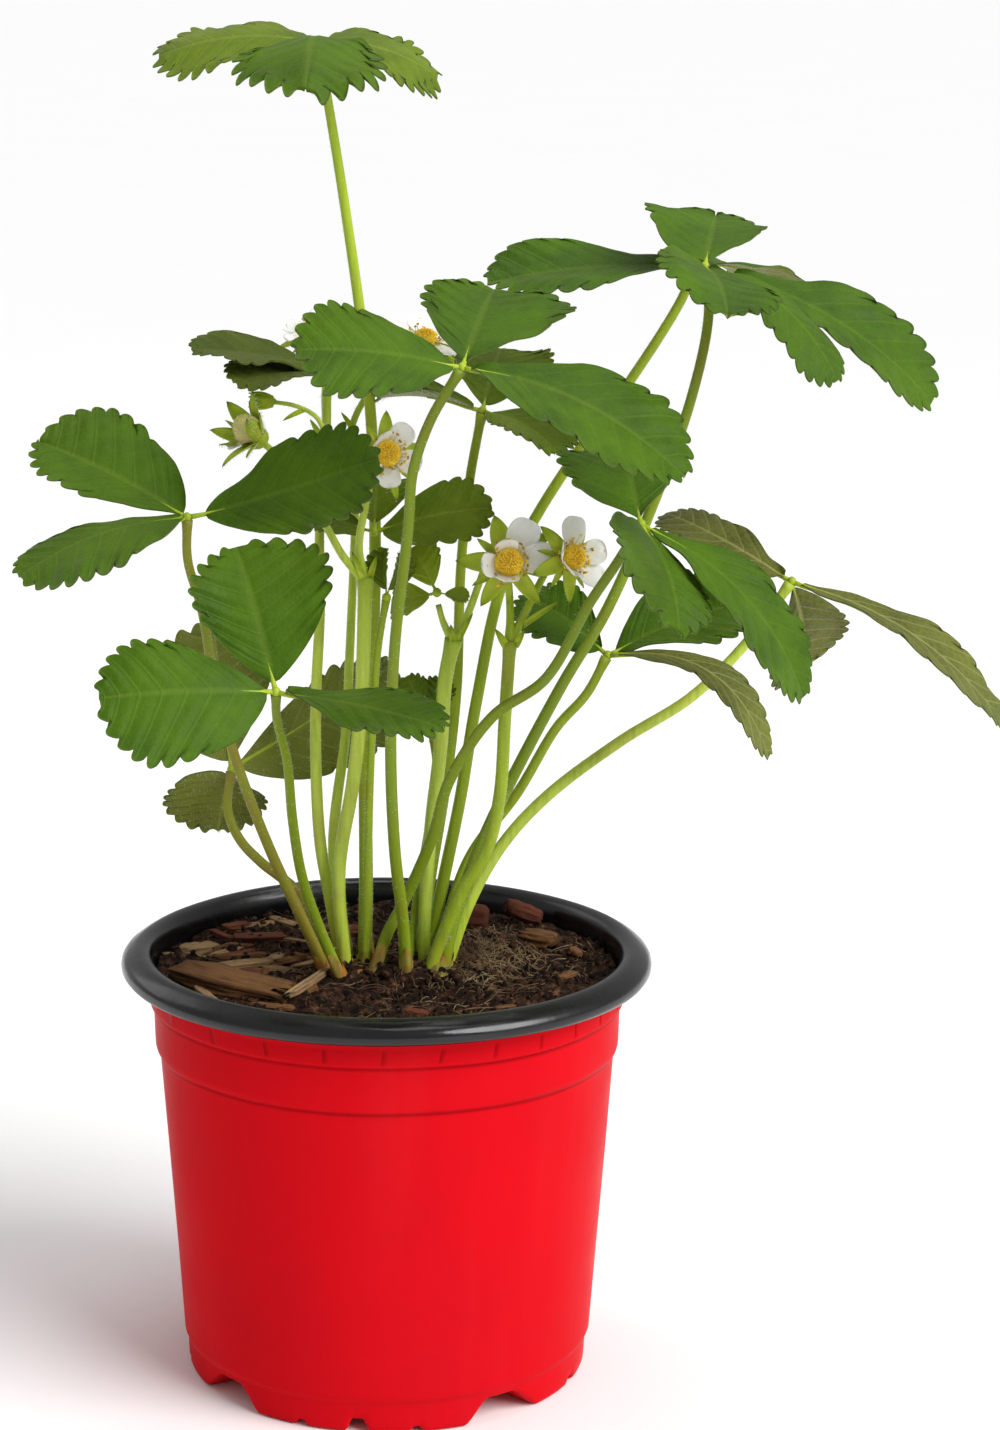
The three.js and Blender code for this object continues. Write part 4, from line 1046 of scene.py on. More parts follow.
def leaf_skin(name, deep, bright, vein, below=False):
    """Leaf surface: quilted cells between the veins, mottled green, soft wax shine; the side
    below is duller, with lighter and raised veins."""
    made, tree, shader = material(name, 0.6 if below else 0.52, specular=0.2 if below else 0.12,
                                  sheen=0.1, glow=0.04)
    shader.inputs["Subsurface Radius"].default_value = (0.35, 0.7, 0.1)
    shader.inputs["Subsurface Scale"].default_value = 0.0008
    shader.inputs["Sheen Tint"].default_value = (0.9, 0.8, 0.55, 1)
    shader.inputs["Sheen Roughness"].default_value = 0.4
    across, side_vein, midrib = vein_masks(tree)
    cells = node(tree, "TexVoronoi", feature="DISTANCE_TO_EDGE", _Scale=620.0, _Randomness=1.0)
    tree.links.new(node(tree, "TexCoord").outputs["Object"], cells.inputs["Vector"])
    net = ramp(tree, cells.outputs["Distance"], [(0.0, 1.0), (0.09, 0.25), (0.3, 0.0)])
    mottle = grain(tree, 60, 5, 0.6)
    colour = tinted(tree, deep, mottle, [(0.36, 0.0), (0.66, 1.0)], bright)
    sallow = (0.13, 0.19, 0.05) if below else (0.080, 0.125, 0.006)
    colour = tinted(tree, colour, grain(tree, 17, 2), [(0.45, 0.0), (0.72, 0.32)], sallow)
    shares = (0.22, 0.5, 0.85) if below else (0.10, 0.12, 0.30)
    for lines, share in zip((net, side_vein, midrib), shares):
        colour = blend(tree, sums(tree, "MULTIPLY", lines, share), colour, vein)
    colour = tinted(tree, colour, across, [(0.480, 0.0), (0.5, 0.3)], (0.10, 0.16, 0.025))
    tree.links.new(colour, shader.inputs["Base Color"])
    tree.links.new(ramp(tree, mottle, [(0.3, 0.44), (0.7, 0.62)]), shader.inputs["Roughness"])
    sunk = sums(tree, "ADD", sums(tree, "MULTIPLY", side_vein, 0.8), sums(tree, "MULTIPLY", net, 0.3))
    # veins stand out below and lie sunken above
    if below:
        relief(tree, shader, sunk, 0.5, 0.0004)
    else:
        relief(tree, shader, sums(tree, "SUBTRACT", 1.0, sunk), 0.35, 0.0004)
    relief(tree, shader, grain(tree, 1400, 3), 0.2, 0.0002)
    return made


leaf_top = leaf_skin("leaf_upper_side", (0.030, 0.078, 0.0008), (0.058, 0.132, 0.002), (0.13, 0.20, 0.02))
leaf_below = leaf_skin("leaf_lower_side", (0.12, 0.145, 0.012), (0.18, 0.205, 0.025), (0.27, 0.30, 0.07),
                       below=True)
young_top = leaf_skin("young_upper_side", (0.065, 0.115, 0.003), (0.125, 0.185, 0.008), (0.22, 0.28, 0.04))
olive_top = leaf_skin("shaded_upper_side", (0.060, 0.072, 0.005), (0.115, 0.125, 0.012), (0.26, 0.27, 0.08),
                      below=True)
# Finish numbers on a leaf: 0 upper side, 1 lower side, 2 stalk, 3 young and 4 shaded upper side
leaf_skins = [leaf_top, leaf_below, stalk_green, young_top, olive_top]
blade_rand = random.Random(41)


def knot(hub, radius, start):
    """The small swollen joint where leaflets meet."""
    line = [(hub[0], hub[1], hub[2] + rise * radius) for rise in (-1, -0.6, 0, 0.6, 1)]
    return stalk_part(line, [share * radius for share in (0.35, 0.85, 1, 0.85, 0.35)], 10, start)


def hairs_below(blade, top_count, count, length):
    """Hairs on a blade's underside, whose points follow those of its upper side."""
    for _ in range(count):
        i = blade_rand.randrange(top_count)
        root, top = Vector(blade[top_count + i]), Vector(blade[i])
        hairs([root], [(root - top).normalized()], length, blade_rand)


def dress_leaf(name, hub, leaflets, nodes, woolly, count=teeth, skins=leaf_skins, uppers=(0, 0, 0),
               **form):
    """All leaflets of one leaf and its knot, fused in one piece; uppers gives the finish number
    of each leaflet's upper side and woolly the hairs below it."""
    points, faces, picks, run = leaf = [], [], [], []
    for spec, upper in zip(leaflets, uppers):
        seed = blade_rand.uniform(0, 40)
        others = [other[0] for other in leaflets if other is not spec]
        more, sides, which, where, top_count = leaflet_mesh(hub, others, *spec, count, seed, **form)
        sides = [tuple(len(points) + i for i in side) for side in sides]
        join(leaf, (more, sides, [upper if pick == 0 else pick for pick in which], where))
        hairs_below(more, top_count, woolly, 1.1)
    join(leaf, knot(hub, hub_radius * knot_share, len(points)))
    piece(name, points, faces, skins, nodes, picks, run)


woolly_leaves = {"low_left": 420, "centre_back": 120}
upper_sides = {"top": (0, 3, 3), "centre_back": (3, 3, 3), "right": (4, 4, 4), "mid_right": (4, 0, 0)}
for name, (hub, leaflets) in leaf_tables.items():
    dress_leaf(f"leaf_{name}", hub, leaflets, [f"leaf_blade_{name}"], woolly_leaves.get(name, 40),
               uppers=upper_sides.get(name, (0, 0, 0)), bite=2.0 if name == "top" else 1.1)


# Young shoots. A spear of new leaf, still pleated and folded shut like a fan, and a small leaf
# just opening, both on short soft stalks out of the crown.

# Route, radii and knot as for the leaf stalks; leaflets as for the leaves
shoot_stalks = {
    "young": ([(-5, -5, 98), (-4.5, -5, 130), (-3.5, -6.5, 160), (-2, -8, 182)], (1.1, 0.8), (0, -9, 195)),
    "pointed": ([(5.2, -3.6, 98), (6.8, -2.2, 115), (9.5, -1.5, 133), (12, -2, 150)], (1, 0.7),
                (10, -3, 165)),
}
shoot_leaves = {
    "young": ((0, -9, 195), [
        ((-0.5, -10, 207), (-1, -1, 0), 4, 45, 0.06, 2, 0),
        ((3.5, -11, 206), (1, -1, 0), 4, 45, 0.06, 2, 0)]),
    "pointed": ((10, -3, 165), [
        ((5, -5, 175), (0, -1, 0), 5, 12, 0.06, 2, 0), ((13, -2, 174), (0, -1, 0), 5, 12, 0.06, 2, 0)]),
}

shoot_fullness = 1.5

for name, (route, radii, hub) in shoot_stalks.items():
    foot, radius = dress_stalk(f"shoot_stem_{name}", to_hub(route, hub), radii, stalk_green,
                               [f"shoot_stalk_{name}"], per_mm=7)
    sheath(foot, radius, 7)
for name, (hub, leaflets) in shoot_leaves.items():
    fuller = [(tip, face, width * shoot_fullness, *form) for tip, face, width, *form in leaflets]
    dress_leaf(f"shoot_{name}", hub, fuller, [f"shoot_blade_{name}"], 60, count=5, uppers=(3, 3),
               pleat=0.22, ruffle=0.3, thick=0.3)


# Leafy bracts. Small one- to three-parted leaves that stand where the flower stalks fork,
# thinner and paler than the true leaves; the centre one is painted lighter still, as painted light over its
# shade.

bract_leaves = {
    "back_left": ((-14, 12, 247), [
        ((-46, 2, 253), (0, -1, 4), 20, 12, 0.03, 2, 0), ((-36, -5, 246), (0, -1, 4), 19, 12, 0.03, 2, 0),
        ((4, 40, 250), (0, -1, 4), 24, 12, 0.06, 2, 0)]),
    "left": ((-3, -4, 210), [
        ((25, -5, 216), (0, -1, 1), 18, 20, 0.06, 2, 0), ((-2, 3, 223), (0, -2, 1), 15, 12, 0.06, 2, 0),
        ((-16, 2, 212), (0, -1, 2), 10, 12, 0.06, 2, 0)]),
    "centre": ((12, -8, 196), [
        ((1, -3, 192), (0, -1, 1), 10, 12, 0.06, 2, 0), ((6, -3, 206), (0, -1, 1), 10, 12, 0.06, 2, 0),
        ((19.5, -9, 195), (0, -1, 3), 6, 12, 0.06, 2, 0)]),
}

bract_dull = leaf_skin("bract_dull", (0.042, 0.068, 0.004), (0.078, 0.102, 0.010), (0.14, 0.17, 0.04))
bract_green = leaf_skin("bract_green", (0.085, 0.14, 0.005), (0.16, 0.23, 0.011), (0.28, 0.35, 0.05))
# painted light: the centre bract's skin is several times lighter than the others, lifting it out of the shade
# the leaves above cast on it
bract_painted_lit = leaf_skin("bract_painted_lit", (0.25, 0.36, 0.012), (0.40, 0.50, 0.03), (0.52, 0.60, 0.12))
# Teeth on a leaflet's side and skin of each bract
bract_kinds = {"back_left": (7, bract_dull), "left": (6, bract_green), "centre": (5, bract_painted_lit)}
for name, (hub, leaflets) in bract_leaves.items():
    count, skin = bract_kinds[name]
    dress_leaf(f"bract_{name}", hub, leaflets, [f"bract_blade_{name}"], 50, count=count,
               skins=[skin, bract_green, stalk_green], thick=0.32)


# Flower stalks. Five forked stems, round and juicy, swollen where they fork, with small
# pointed scales at the forks, dense white hair, and one closed bud on a side sprig.

# Every stem's branches: route and the radii at both ends
flower_stalks = {
    "left": [
        ([(-9.5, -7, 98), (-11.5, -7.5, 127), (-8, -8, 150), (-6, -8.5, 170), (-5, -9, 200)], (1.6, 1.7)),
        ([(-5, -9, 199), (-10, -11.5, 205), (-14, -11, 212), (-20, -7, 221), (-26.5, -2.5, 228.5),
          (-28.97, -3.73, 230.97)], (1, 0.8)),
        ([(-5, -9, 199), (-6.5, -10, 207), (-5, -11, 217), (-2.26, -11.22, 228.24),
          (-1.15, -14.56, 229.35)], (1, 0.8)),
    ],
    "back_left": [
        ([(-10, -3, 98), (-14, -3.5, 121), (-16, -4, 133), (-17, -3, 150), (-17, -1, 169), (-16, 1, 190),
          (-16, 4, 210), (-14.5, 8, 228), (-14.2, 10.8, 242), (-14.06, 11.63, 245.45)], (1.6, 1)),
        ([(-14.5, 8, 230), (-15, 15, 240), (-14.74, 26.76, 248.22), (-15.85, 25.65, 251.56)], (0.8, 0.6)),
        ([(-15.5, 5, 216), (-14, 0, 226), (-16, 0, 236), (-21, 2, 239), (-28, 4, 240)], (0.7, 0.5)),
    ],
    "back": [
        ([(-8.5, 0.8, 98), (-13, 3, 130), (-10, 8, 158), (-9, 11, 177), (-8, 14, 200), (-7.5, 15, 217),
          (-8.5, 13, 232), (-2.5, 10, 243), (6.74, 4.26, 247.72), (7.85, 3.15, 251.06)], (1.5, 0.7)),
    ],
    "centre": [
        ([(9.2, -4.5, 98), (9.5, -4.5, 120), (11, -5, 140), (13, -7, 158), (14, -9, 175),
          (16, -9, 185)], (1.5, 1.8)),
        ([(16, -9, 184), (13.5, -9, 189), (12.3, -8.3, 193.2)], (0.9, 0.7)),
        ([(16, -9, 184), (19, -8.5, 190), (22, -7, 198), (25, -3, 206)], (1, 0.8)),
    ],
    "right": [
        ([(9, -8.5, 98), (13, -9, 110), (18, -11, 123), (24, -13, 134), (27, -15, 148), (28, -17, 167),
          (29, -20, 187)], (1.6, 1.5)),
        ([(29, -20, 186), (29, -18, 194), (28.5, -14.88, 203.13), (28.5, -18.4, 204.3)], (1, 0.8)),
        ([(29, -20, 186), (33, -18, 194), (38.99, -16.99, 205), (40.97, -19.95, 205.98)], (1, 0.8)),
    ],
}
stem_spacing = 1.4
bud_middle, bud_size = (-28.5, 4, 240), (2.4, 1.3, 1.3)
bud_sepals = 7
# Scales at the forks: where they start, where they point, and their width
fork_scales = {
    "left": [((-5.5, -10, 199.5), (-8.2, -11, 206.5), 1.9), ((-4, -9.4, 199.5), (-2.2, -10.5, 205.5), 1.7)],
    "centre": [((17.2, -9.4, 185), (20.6, -10, 191.5), 1.5), ((15.8, -10.6, 184.5), (15.2, -11.2, 189), 1.8),
               ((24.6, -3.4, 204.8), (27.4, -4.6, 209.5), 1.4)],
    "right": [((28, -21, 185.5), (25.3, -21.8, 190), 2.0), ((30.2, -20.6, 185.5), (32.4, -21.2, 189.6), 1.8),
              ((31.8, -19, 190), (41.2, -19.6, 196.4), 1.5)],
    "back_left": [((-15.2, 4.4, 215), (-18.6, 3.6, 221), 1.6), ((-14.8, 8.6, 229), (-18.4, 9.6, 235), 1.7),
                  ((-19.6, 1.4, 238.3), (-24.6, 0.4, 235.8), 1.3)],
    "back": [((-7.4, 12.6, 231), (-11, 11.6, 236.5), 1.6)],
}


def two_sided(rows, columns, start):
    """Faces of a thin blade of two point grids: upper side, lower side, then the rim."""
    grid, faces = rows * columns, []
    for j in range(rows - 1):
        for c in range(columns - 1):
            a = start + j * columns + c
            faces.append((a, a + columns, a + columns + 1, a + 1))
    faces += [tuple(corner + grid for corner in reversed(face)) for face in faces]
    for j in range(rows - 1):
        for c, flipped in ((0, False), (columns - 1, True)):
            a, b = start + j * columns + c, start + (j + 1) * columns + c
            strip = (a, a + grid, b + grid, b)
            faces.append(strip[::-1] if flipped else strip)
    for j, flipped in ((0, True), (rows - 1, False)):
        for c in range(columns - 1):
            a, b = start + j * columns + c, start + j * columns + c + 1
            strip = (a, a + grid, b + grid, b)
            faces.append(strip[::-1] if flipped else strip)
    return faces


def pointed_blade(foot, tip, face, width, bow, cup, base, start, rand, upper=1):
    """A small thin pointed blade, as sepals and scales are: points, faces, picks and its run.
    Its lower side has finish number 1 and its upper side the number given."""
    forward, upward, aside, length = leaflet_axes(foot, tip, face)
    rows, columns, thick = 12, 7, 0.28
    foot, forward, upward, aside = (np.array(way) for way in (foot, forward, upward, aside))
    twist = rand.uniform(-0.25, 0.25)
    points, run = [], []
    for thickness in (0, thick):
        for j in range(rows):
            s = j / (rows - 1)
            wide = width / 2 * max(0.02, (base + 1.25 * s) * (1 - s) ** 0.8)
            for c in range(columns):
                v = 2 * c / (columns - 1) - 1
                lift = bow * length * math.sin(math.pi * s * 0.85) + cup * wide * v * v
                lift += twist * wide * v * s
                ridge = 0.12 * math.exp(-((v / 0.25) ** 2))
                taper = thickness * (1 - 0.55 * s)
                points.append(foot + s * length * forward + v * wide * aside
                              + (lift - taper - ridge) * upward)
                run.append((0.5 + 0.5 * v, s))
    faces = two_sided(rows, columns, start)
    upper_count = (rows - 1) * (columns - 1)
    picks = [upper] * upper_count + [1] * (len(faces) - upper_count)
    return points, faces, picks, run


def sepal_skin(name, inner, tip, red):
    """Soft green leafy tissue, paler at its foot, darker and a little red at its point."""
    made, tree, shader = material(name, 0.55, specular=0.2, sheen=0.04, glow=0.08)
    shader.inputs["Subsurface Radius"].default_value = (0.4, 0.8, 0.15)
    shader.inputs["Subsurface Scale"].default_value = 0.0008
    run, _, along = run_along(tree)
    colour = ramp(tree, along, [(0.0, inner), (0.45, inner), (0.85, tip), (1.0, red)])
    ribs = node(tree, "TexWave", wave_type="BANDS", bands_direction="X", _Scale=2.4, _Distortion=0.6)
    tree.links.new(run, ribs.inputs["Vector"])
    colour = tinted(tree, colour, ribs.outputs["Fac"], [(0.2, 0.3), (0.6, 0.0)], tip)
    mottle = grain(tree, 420, 4)
    colour = tinted(tree, colour, mottle, [(0.42, 0.0), (0.7, 0.35)], (0.22, 0.30, 0.02))
    tree.links.new(colour, shader.inputs["Base Color"])
    relief(tree, shader, mottle, 0.3, 0.0003)
    return made


def bud_body(start):
    """The closed bud's pale egg, lying on its side: points, faces, picks and its run."""
    rings, points, run = 10, [], []
    for ring in range(rings):
        turn = math.pi * (ring + 0.5) / rings
        for k in range(stalk_sides):
            angle = 2 * math.pi * k / stalk_sides
            way = (math.cos(turn), math.sin(turn) * math.cos(angle), math.sin(turn) * math.sin(angle))
            points.append(np.array(bud_middle) + np.multiply(way, bud_size))
            run.append((k / stalk_sides, ring / rings))
    faces = ring_faces(start, rings, stalk_sides)
    return points, faces, [2] * len(faces), run


def bud_sepal(k, start):
    """One of the sepals wrapped along the bud, every other one longer."""
    angle = 2 * math.pi * k / bud_sepals
    out = (0.0, math.cos(angle), math.sin(angle))
    x, y, z = bud_middle
    foot = (x + 1.6, y + out[1], z + out[2])
    tip = (x - 3.6 - 0.8 * (k % 2), y + 0.8 * out[1], z + 1.3 * out[2] + 0.5)
    return pointed_blade(foot, tip, [-way for way in out], 1.9, -0.14, 0.35, 0.9, start, scale_rand)


sepal_pale = sepal_skin("sepal_inner_face", (0.50, 0.58, 0.05), (0.32, 0.43, 0.016), (0.12, 0.07, 0.02))
sepal_dark = sepal_skin("sepal_outer_face", (0.40, 0.48, 0.025), (0.22, 0.32, 0.008), (0.07, 0.04, 0.015))
scale_rand = random.Random(77)

for name, branches in flower_stalks.items():
    points, faces, picks, run = stem = [], [], [], []
    for order, (route, (foot_radius, end_radius)) in enumerate(branches):
        line, share, length = even_line(route, stem_spacing, 10)
        thick = foot_radius + (end_radius - foot_radius) * share
        # the main stem swells at its top, where it forks, and the branches at their foot
        if order == 0:
            thick = thick * (1 + 0.22 * np.exp(-((1 - share) * length / 3.0) ** 2))
        else:
            thick = thick * (1 + 0.45 * np.exp(-(share * length / 3.2) ** 2))
        rod, sides, along = tube(line, thick, stalk_sides, 0.06, start=len(points))
        join(stem, (rod, sides, [0] * len(sides), along))
        hairs_on_rod(line[1:], thick[1:], 6, 0.95)
        if order == 0:
            sheath(line[1:], thick[0], 7)
    for foot, tip, width in fork_scales[name]:
        join(stem, pointed_blade(foot, tip, (0, -1, 0.4), width, 0.12, 0.5, 0.9, len(points), scale_rand))
    if name == "back_left":
        join(stem, bud_body(len(points)))
        for k in range(bud_sepals):
            join(stem, bud_sepal(k, len(points)))
    skin = stalk_green if name == "right" else stalk_pale
    piece(f"flower_stem_{name}", points, faces, [skin, sepal_dark, sepal_pale],
          [f"flower_stalk_{name}"], picks, run)


# Flowers. Each has a green cup of five sepals with five narrower ones between them, up to five
# round white petals, a ring of stamens and a dome of tiny yellow pistils that turns to fruit.

# Centre, the way it looks, and its size
flowers = {
    "front": ((28.5, -22, 205.5), (0, -3, 1), 1),
    "right": ((43, -23, 207), (2, -3, 1), 0.86),
    "centre": ((0, -18, 230.5), (1, -3, 1), 0.9),
    "back_left": ((-17, 24.5, 255), (-1, -1, 3), 0.8),
    "back": ((9, 2, 254.5), (1, -1, 3), 0.8),
}
stamen_count = 24
pistil_count = 150
# The green cup under the sepals and the dome in a flower's middle, as (radius, height)
cup_profile = [(0.75, -4.1), (1.2, -4.0), (2.2, -3.5), (2.9, -2.6), (3.1, -1.7), (2.9, -1.2), (1.2, -1.0)]
dome_profile = [(3.2, 0.1), (3.5, 0.9), (3.3, 1.9), (2.6, 2.8), (1.4, 3.4), (0.3, 3.6)]
# Petals as (angle round the flower, lift out of its plane in degrees, size), sepals as
# (angle, lift, reach in mm, width in mm)
petal_forms = {
    "front": [(63, 6, 1.0), (9, 10, 0.96), (100, 62, 0.7), (190, 46, 0.76), (262, 60, 0.76)],
    "right": [(112, 4, 1.0), (-14, 16, 0.95), (40, 30, 0.9), (196, 50, 0.78), (266, 56, 0.9)],
    "centre": [(66, 20, 0.85), (-6, 14, 0.85), (-76, 16, 0.85), (140, 66, 0.8), (214, 60, 0.8)],
    "back_left": [(0, 8, 1.0), (72, 10, 1.0), (144, 8, 1.0), (216, 12, 1.0), (288, 8, 1.0)],
    "back": [(34, 8, 1.0), (106, 10, 1.0), (178, 8, 1.0), (250, 12, 1.0), (322, 8, 1.0)],
}
sepal_forms = {
    "front": [(38, -4, 12.4, 5.0), (106, 0, 12.0, 6.0), (176, -2, 12.4, 5.6), (236, -6, 11.8, 4.6),
              (308, -8, 12.0, 4.4)],
    "right": [(48, 0, 10.6, 4.2), (86, 6, 9.0, 4.0), (160, -4, 10.2, 4.4), (228, -4, 10.6, 4.6),
              (300, -6, 10.6, 4.4)],
    "centre": [(30, -4, 9.8, 3.8), (100, 0, 10.6, 4.2), (176, -2, 10.6, 4.0), (256, -4, 10.8, 2.8),
               (300, -4, 11.0, 2.8)],
}
plain_sepals = [(36 + 72 * k, -2, 11.0, 4.6) for k in range(5)]


def flower_axes(axis, turn=0):
    """Turns the flower's own frame, face up, the way it looks."""
    aim = Vector((0, 0, 1)).rotation_difference(Vector(axis).normalized())
    return aim @ Quaternion((0, 0, 1), turn)


def turned(aim, centre, profile, around):
    """Points of a round body in the flower's own frame, from its profile of (radius, height)."""
    points = []
    for radius, height in profile:
        for k in range(around):
            angle = 2 * math.pi * k / around
            spot = Vector((radius * math.cos(angle), radius * math.sin(angle), height))
            points.append(tuple(Vector(centre) + aim @ spot))
    return points


def petal(aim, centre, angle, lift, size, start):
    """A round white petal on a short claw, a little cupped and wavy at its edge."""
    rows, columns = 16, 15
    inner, outer, wide = 2.4, 11.3 * size, 8.0 * size
    heading, rise = math.radians(angle), math.radians(lift)
    forward = Vector((math.cos(heading) * math.cos(rise), math.sin(heading) * math.cos(rise),
                      math.sin(rise)))
    aside = Vector((-math.sin(heading), math.cos(heading), 0))
    upward = forward.cross(aside)
    root = Vector((math.cos(heading), math.sin(heading), 0)) * inner + Vector((0, 0, 0.1))
    seed, cup = bloom_rand.uniform(0, 30), bloom_rand.uniform(0.9, 1.8)
    points, run = [], []
    for side in (0, 1):
        for j in range(rows):
            t = math.pi * (0.02 + 0.98 * j / (rows - 1))
            along = (1 - math.cos(t)) / 2
            half = wide / 2 * max(0.0, math.sin(t)) ** 0.72 * (0.78 + 0.3 * along) + 0.25 * (1 - along)
            for c in range(columns):
                v = 2 * c / (columns - 1) - 1
                edge = max(abs(v), along) ** 3
                wave = noise.noise(Vector((along * 2.4 + seed, v * 2.0, seed))) * 0.7 * edge
                lift_here = cup * (v * v * 0.5 * (half / 4) + (along - 0.4) ** 2 * 0.9) + wave
                notch = -0.35 * size * math.exp(-((v / 0.18) ** 2)) * along**8
                spot = root + forward * (along * (outer - inner) + notch) + aside * (half * v)
                spot += upward * (lift_here - 0.16 * side)
                points.append(tuple(Vector(centre) + aim @ spot))
                run.append((0.5 + 0.5 * v, along))
    return points, two_sided(rows, columns, start), run


def grains(aim, centre, points, faces, spots):
    """Tiny pointed lumps standing on a dome; spots are (place, outward, radius)."""
    for place, out, radius in spots:
        out = Vector(out).normalized()
        side = out.orthogonal().normalized()
        other = out.cross(side)
        first, around = len(points), 6
        for reach, rise in ((0.8, 0.0), (1.0, 0.7), (0.55, 1.5)):
            for k in range(around):
                angle = 2 * math.pi * k / around
                spot = Vector(place) + out * (rise * radius) + radius * reach * (
                    math.cos(angle) * side + math.sin(angle) * other)
                points.append(tuple(Vector(centre) + aim @ spot))
        points.append(tuple(Vector(centre) + aim @ (Vector(place) + out * (2.1 * radius))))
        faces += ring_faces(first, 3, around)
        top = first + 2 * around
        faces += [(top + k, top + (k + 1) % around, first + 3 * around) for k in range(around)]
        faces.append(tuple(first + k for k in reversed(range(around))))


def dome_spots(count, radius, height, base, grain_radius):
    """Even spots over a dome by the golden angle."""
    spots = []
    for k in range(count):
        share = (k + 0.5) / count
        tilt = math.acos(1 - share)
        angle = k * math.pi * (3 - math.sqrt(5))
        out = (math.sin(tilt) * math.cos(angle), math.sin(tilt) * math.sin(angle), math.cos(tilt))
        place = (radius * out[0], radius * out[1], base + height * out[2])
        outward = (out[0] / radius, out[1] / radius, out[2] / height)
        spots.append((place, outward, grain_radius * bloom_rand.uniform(0.85, 1.15)))
    return spots


def petal_skin():
    """Thin pearly white petal with faint lengthwise veins and a cream claw."""
    made, tree, shader = material("petal_pearly_white", 0.48, specular=0.35, sheen=0.12, glow=0.2)
    shader.inputs["Subsurface Radius"].default_value = (0.8, 0.8, 0.6)
    shader.inputs["Subsurface Scale"].default_value = 0.001
    run, _, along = run_along(tree)
    colour = ramp(tree, along, [(0.0, (0.70, 0.70, 0.38)), (0.28, (0.88, 0.88, 0.78)),
                                (0.7, (0.91, 0.91, 0.88)), (1.0, (0.88, 0.88, 0.83))])
    veins = node(tree, "TexWave", wave_type="BANDS", bands_direction="X", _Scale=5.5, _Distortion=1.2)
    tree.links.new(run, veins.inputs["Vector"])
    colour = tinted(tree, colour, veins.outputs["Fac"], [(0.1, 0.2), (0.5, 0.0)], (0.74, 0.75, 0.68))
    colour = tinted(tree, colour, grain(tree, 240, 3), [(0.5, 0.0), (0.75, 0.25)], (0.74, 0.74, 0.66))
    tree.links.new(colour, shader.inputs["Base Color"])
    relief(tree, shader, veins.outputs["Fac"], 0.2, 0.0003)
    return made


def mealy(name, low, mid, high):
    """Powdery grains, each of a slightly different ripeness."""
    made, tree, shader = material(name, 0.7, specular=0.25, sheen=0.15, glow=0.08)
    shader.inputs["Subsurface Scale"].default_value = 0.0006
    spots = grain(tree, 1500, 3, 0.6)
    colour = ramp(tree, spots, [(0.34, low), (0.5, mid), (0.68, high)])
    tree.links.new(colour, shader.inputs["Base Color"])
    relief(tree, shader, grain(tree, 3200, 2), 0.35, 0.0002)
    return made


petal_white = petal_skin()
pistil_yellow = mealy("pistil_yellow", (0.74, 0.40, 0.010), (0.90, 0.58, 0.02), (0.95, 0.76, 0.10))
anther_brown = mealy("anther_brown", (0.22, 0.09, 0.02), (0.48, 0.25, 0.035), (0.78, 0.52, 0.08))
berry_seed = mealy("berry_seed", (0.36, 0.38, 0.06), (0.54, 0.50, 0.10), (0.66, 0.60, 0.22))
filament_pale = mealy("filament_pale", (0.55, 0.56, 0.25), (0.66, 0.67, 0.35), (0.74, 0.74, 0.48))
bloom_rand = random.Random(91)


def calyx(name, centre, axis, size, forms, nodes, closed=0):
    """The green cup with its sepals, hairy outside; closed lifts them all by so many degrees."""
    aim, around = flower_axes(axis), 18
    points = turned(aim, centre, [(radius * size, height) for radius, height in cup_profile], around)
    faces = ring_faces(0, len(cup_profile), around, capped=True)
    picks = [1] * len(faces)
    run = [(k / around, 0.2) for _ in cup_profile for k in range(around)]
    # between the five sepals stand five narrower and shorter ones
    narrow = [(angle + 34, lift - 3, reach * 0.8, width * 0.42) for angle, lift, reach, width in forms]
    for angle, lift, reach, width in [*forms, *narrow]:
        heading, rise = math.radians(angle), math.radians(lift + closed)
        out = Vector((math.cos(heading), math.sin(heading), 0))
        foot = out * (2.3 * size) + Vector((0, 0, -1.5 - 0.15 * (width < 3)))
        run_out = reach - 2.3 * size
        tip = foot + out * (run_out * math.cos(rise)) + Vector((0, 0, run_out * math.sin(rise)))
        up = Vector((0, 0, 1)) * math.cos(rise) - out * math.sin(rise)
        foot, tip = (Vector(centre) + aim @ spot for spot in (foot, tip))
        bow = -0.03 + 0.1 * bloom_rand.random()
        sepal = pointed_blade(foot, tip, aim @ up, width, bow, 0.25, 0.8, len(points), bloom_rand, upper=0)
        half = len(sepal[0]) // 2
        for _ in range(int(6 * reach)):
            i = bloom_rand.randrange(half)
            root = Vector(sepal[0][half + i])
            away = root - Vector(sepal[0][i])
            away = away.normalized() if away.length > 0 else -(aim @ up)
            hairs([root], [away], 0.9, bloom_rand, 0.04)
        join((points, faces, picks, run), sepal)
    piece(name, points, faces, [sepal_pale, sepal_dark], nodes, picks, run)


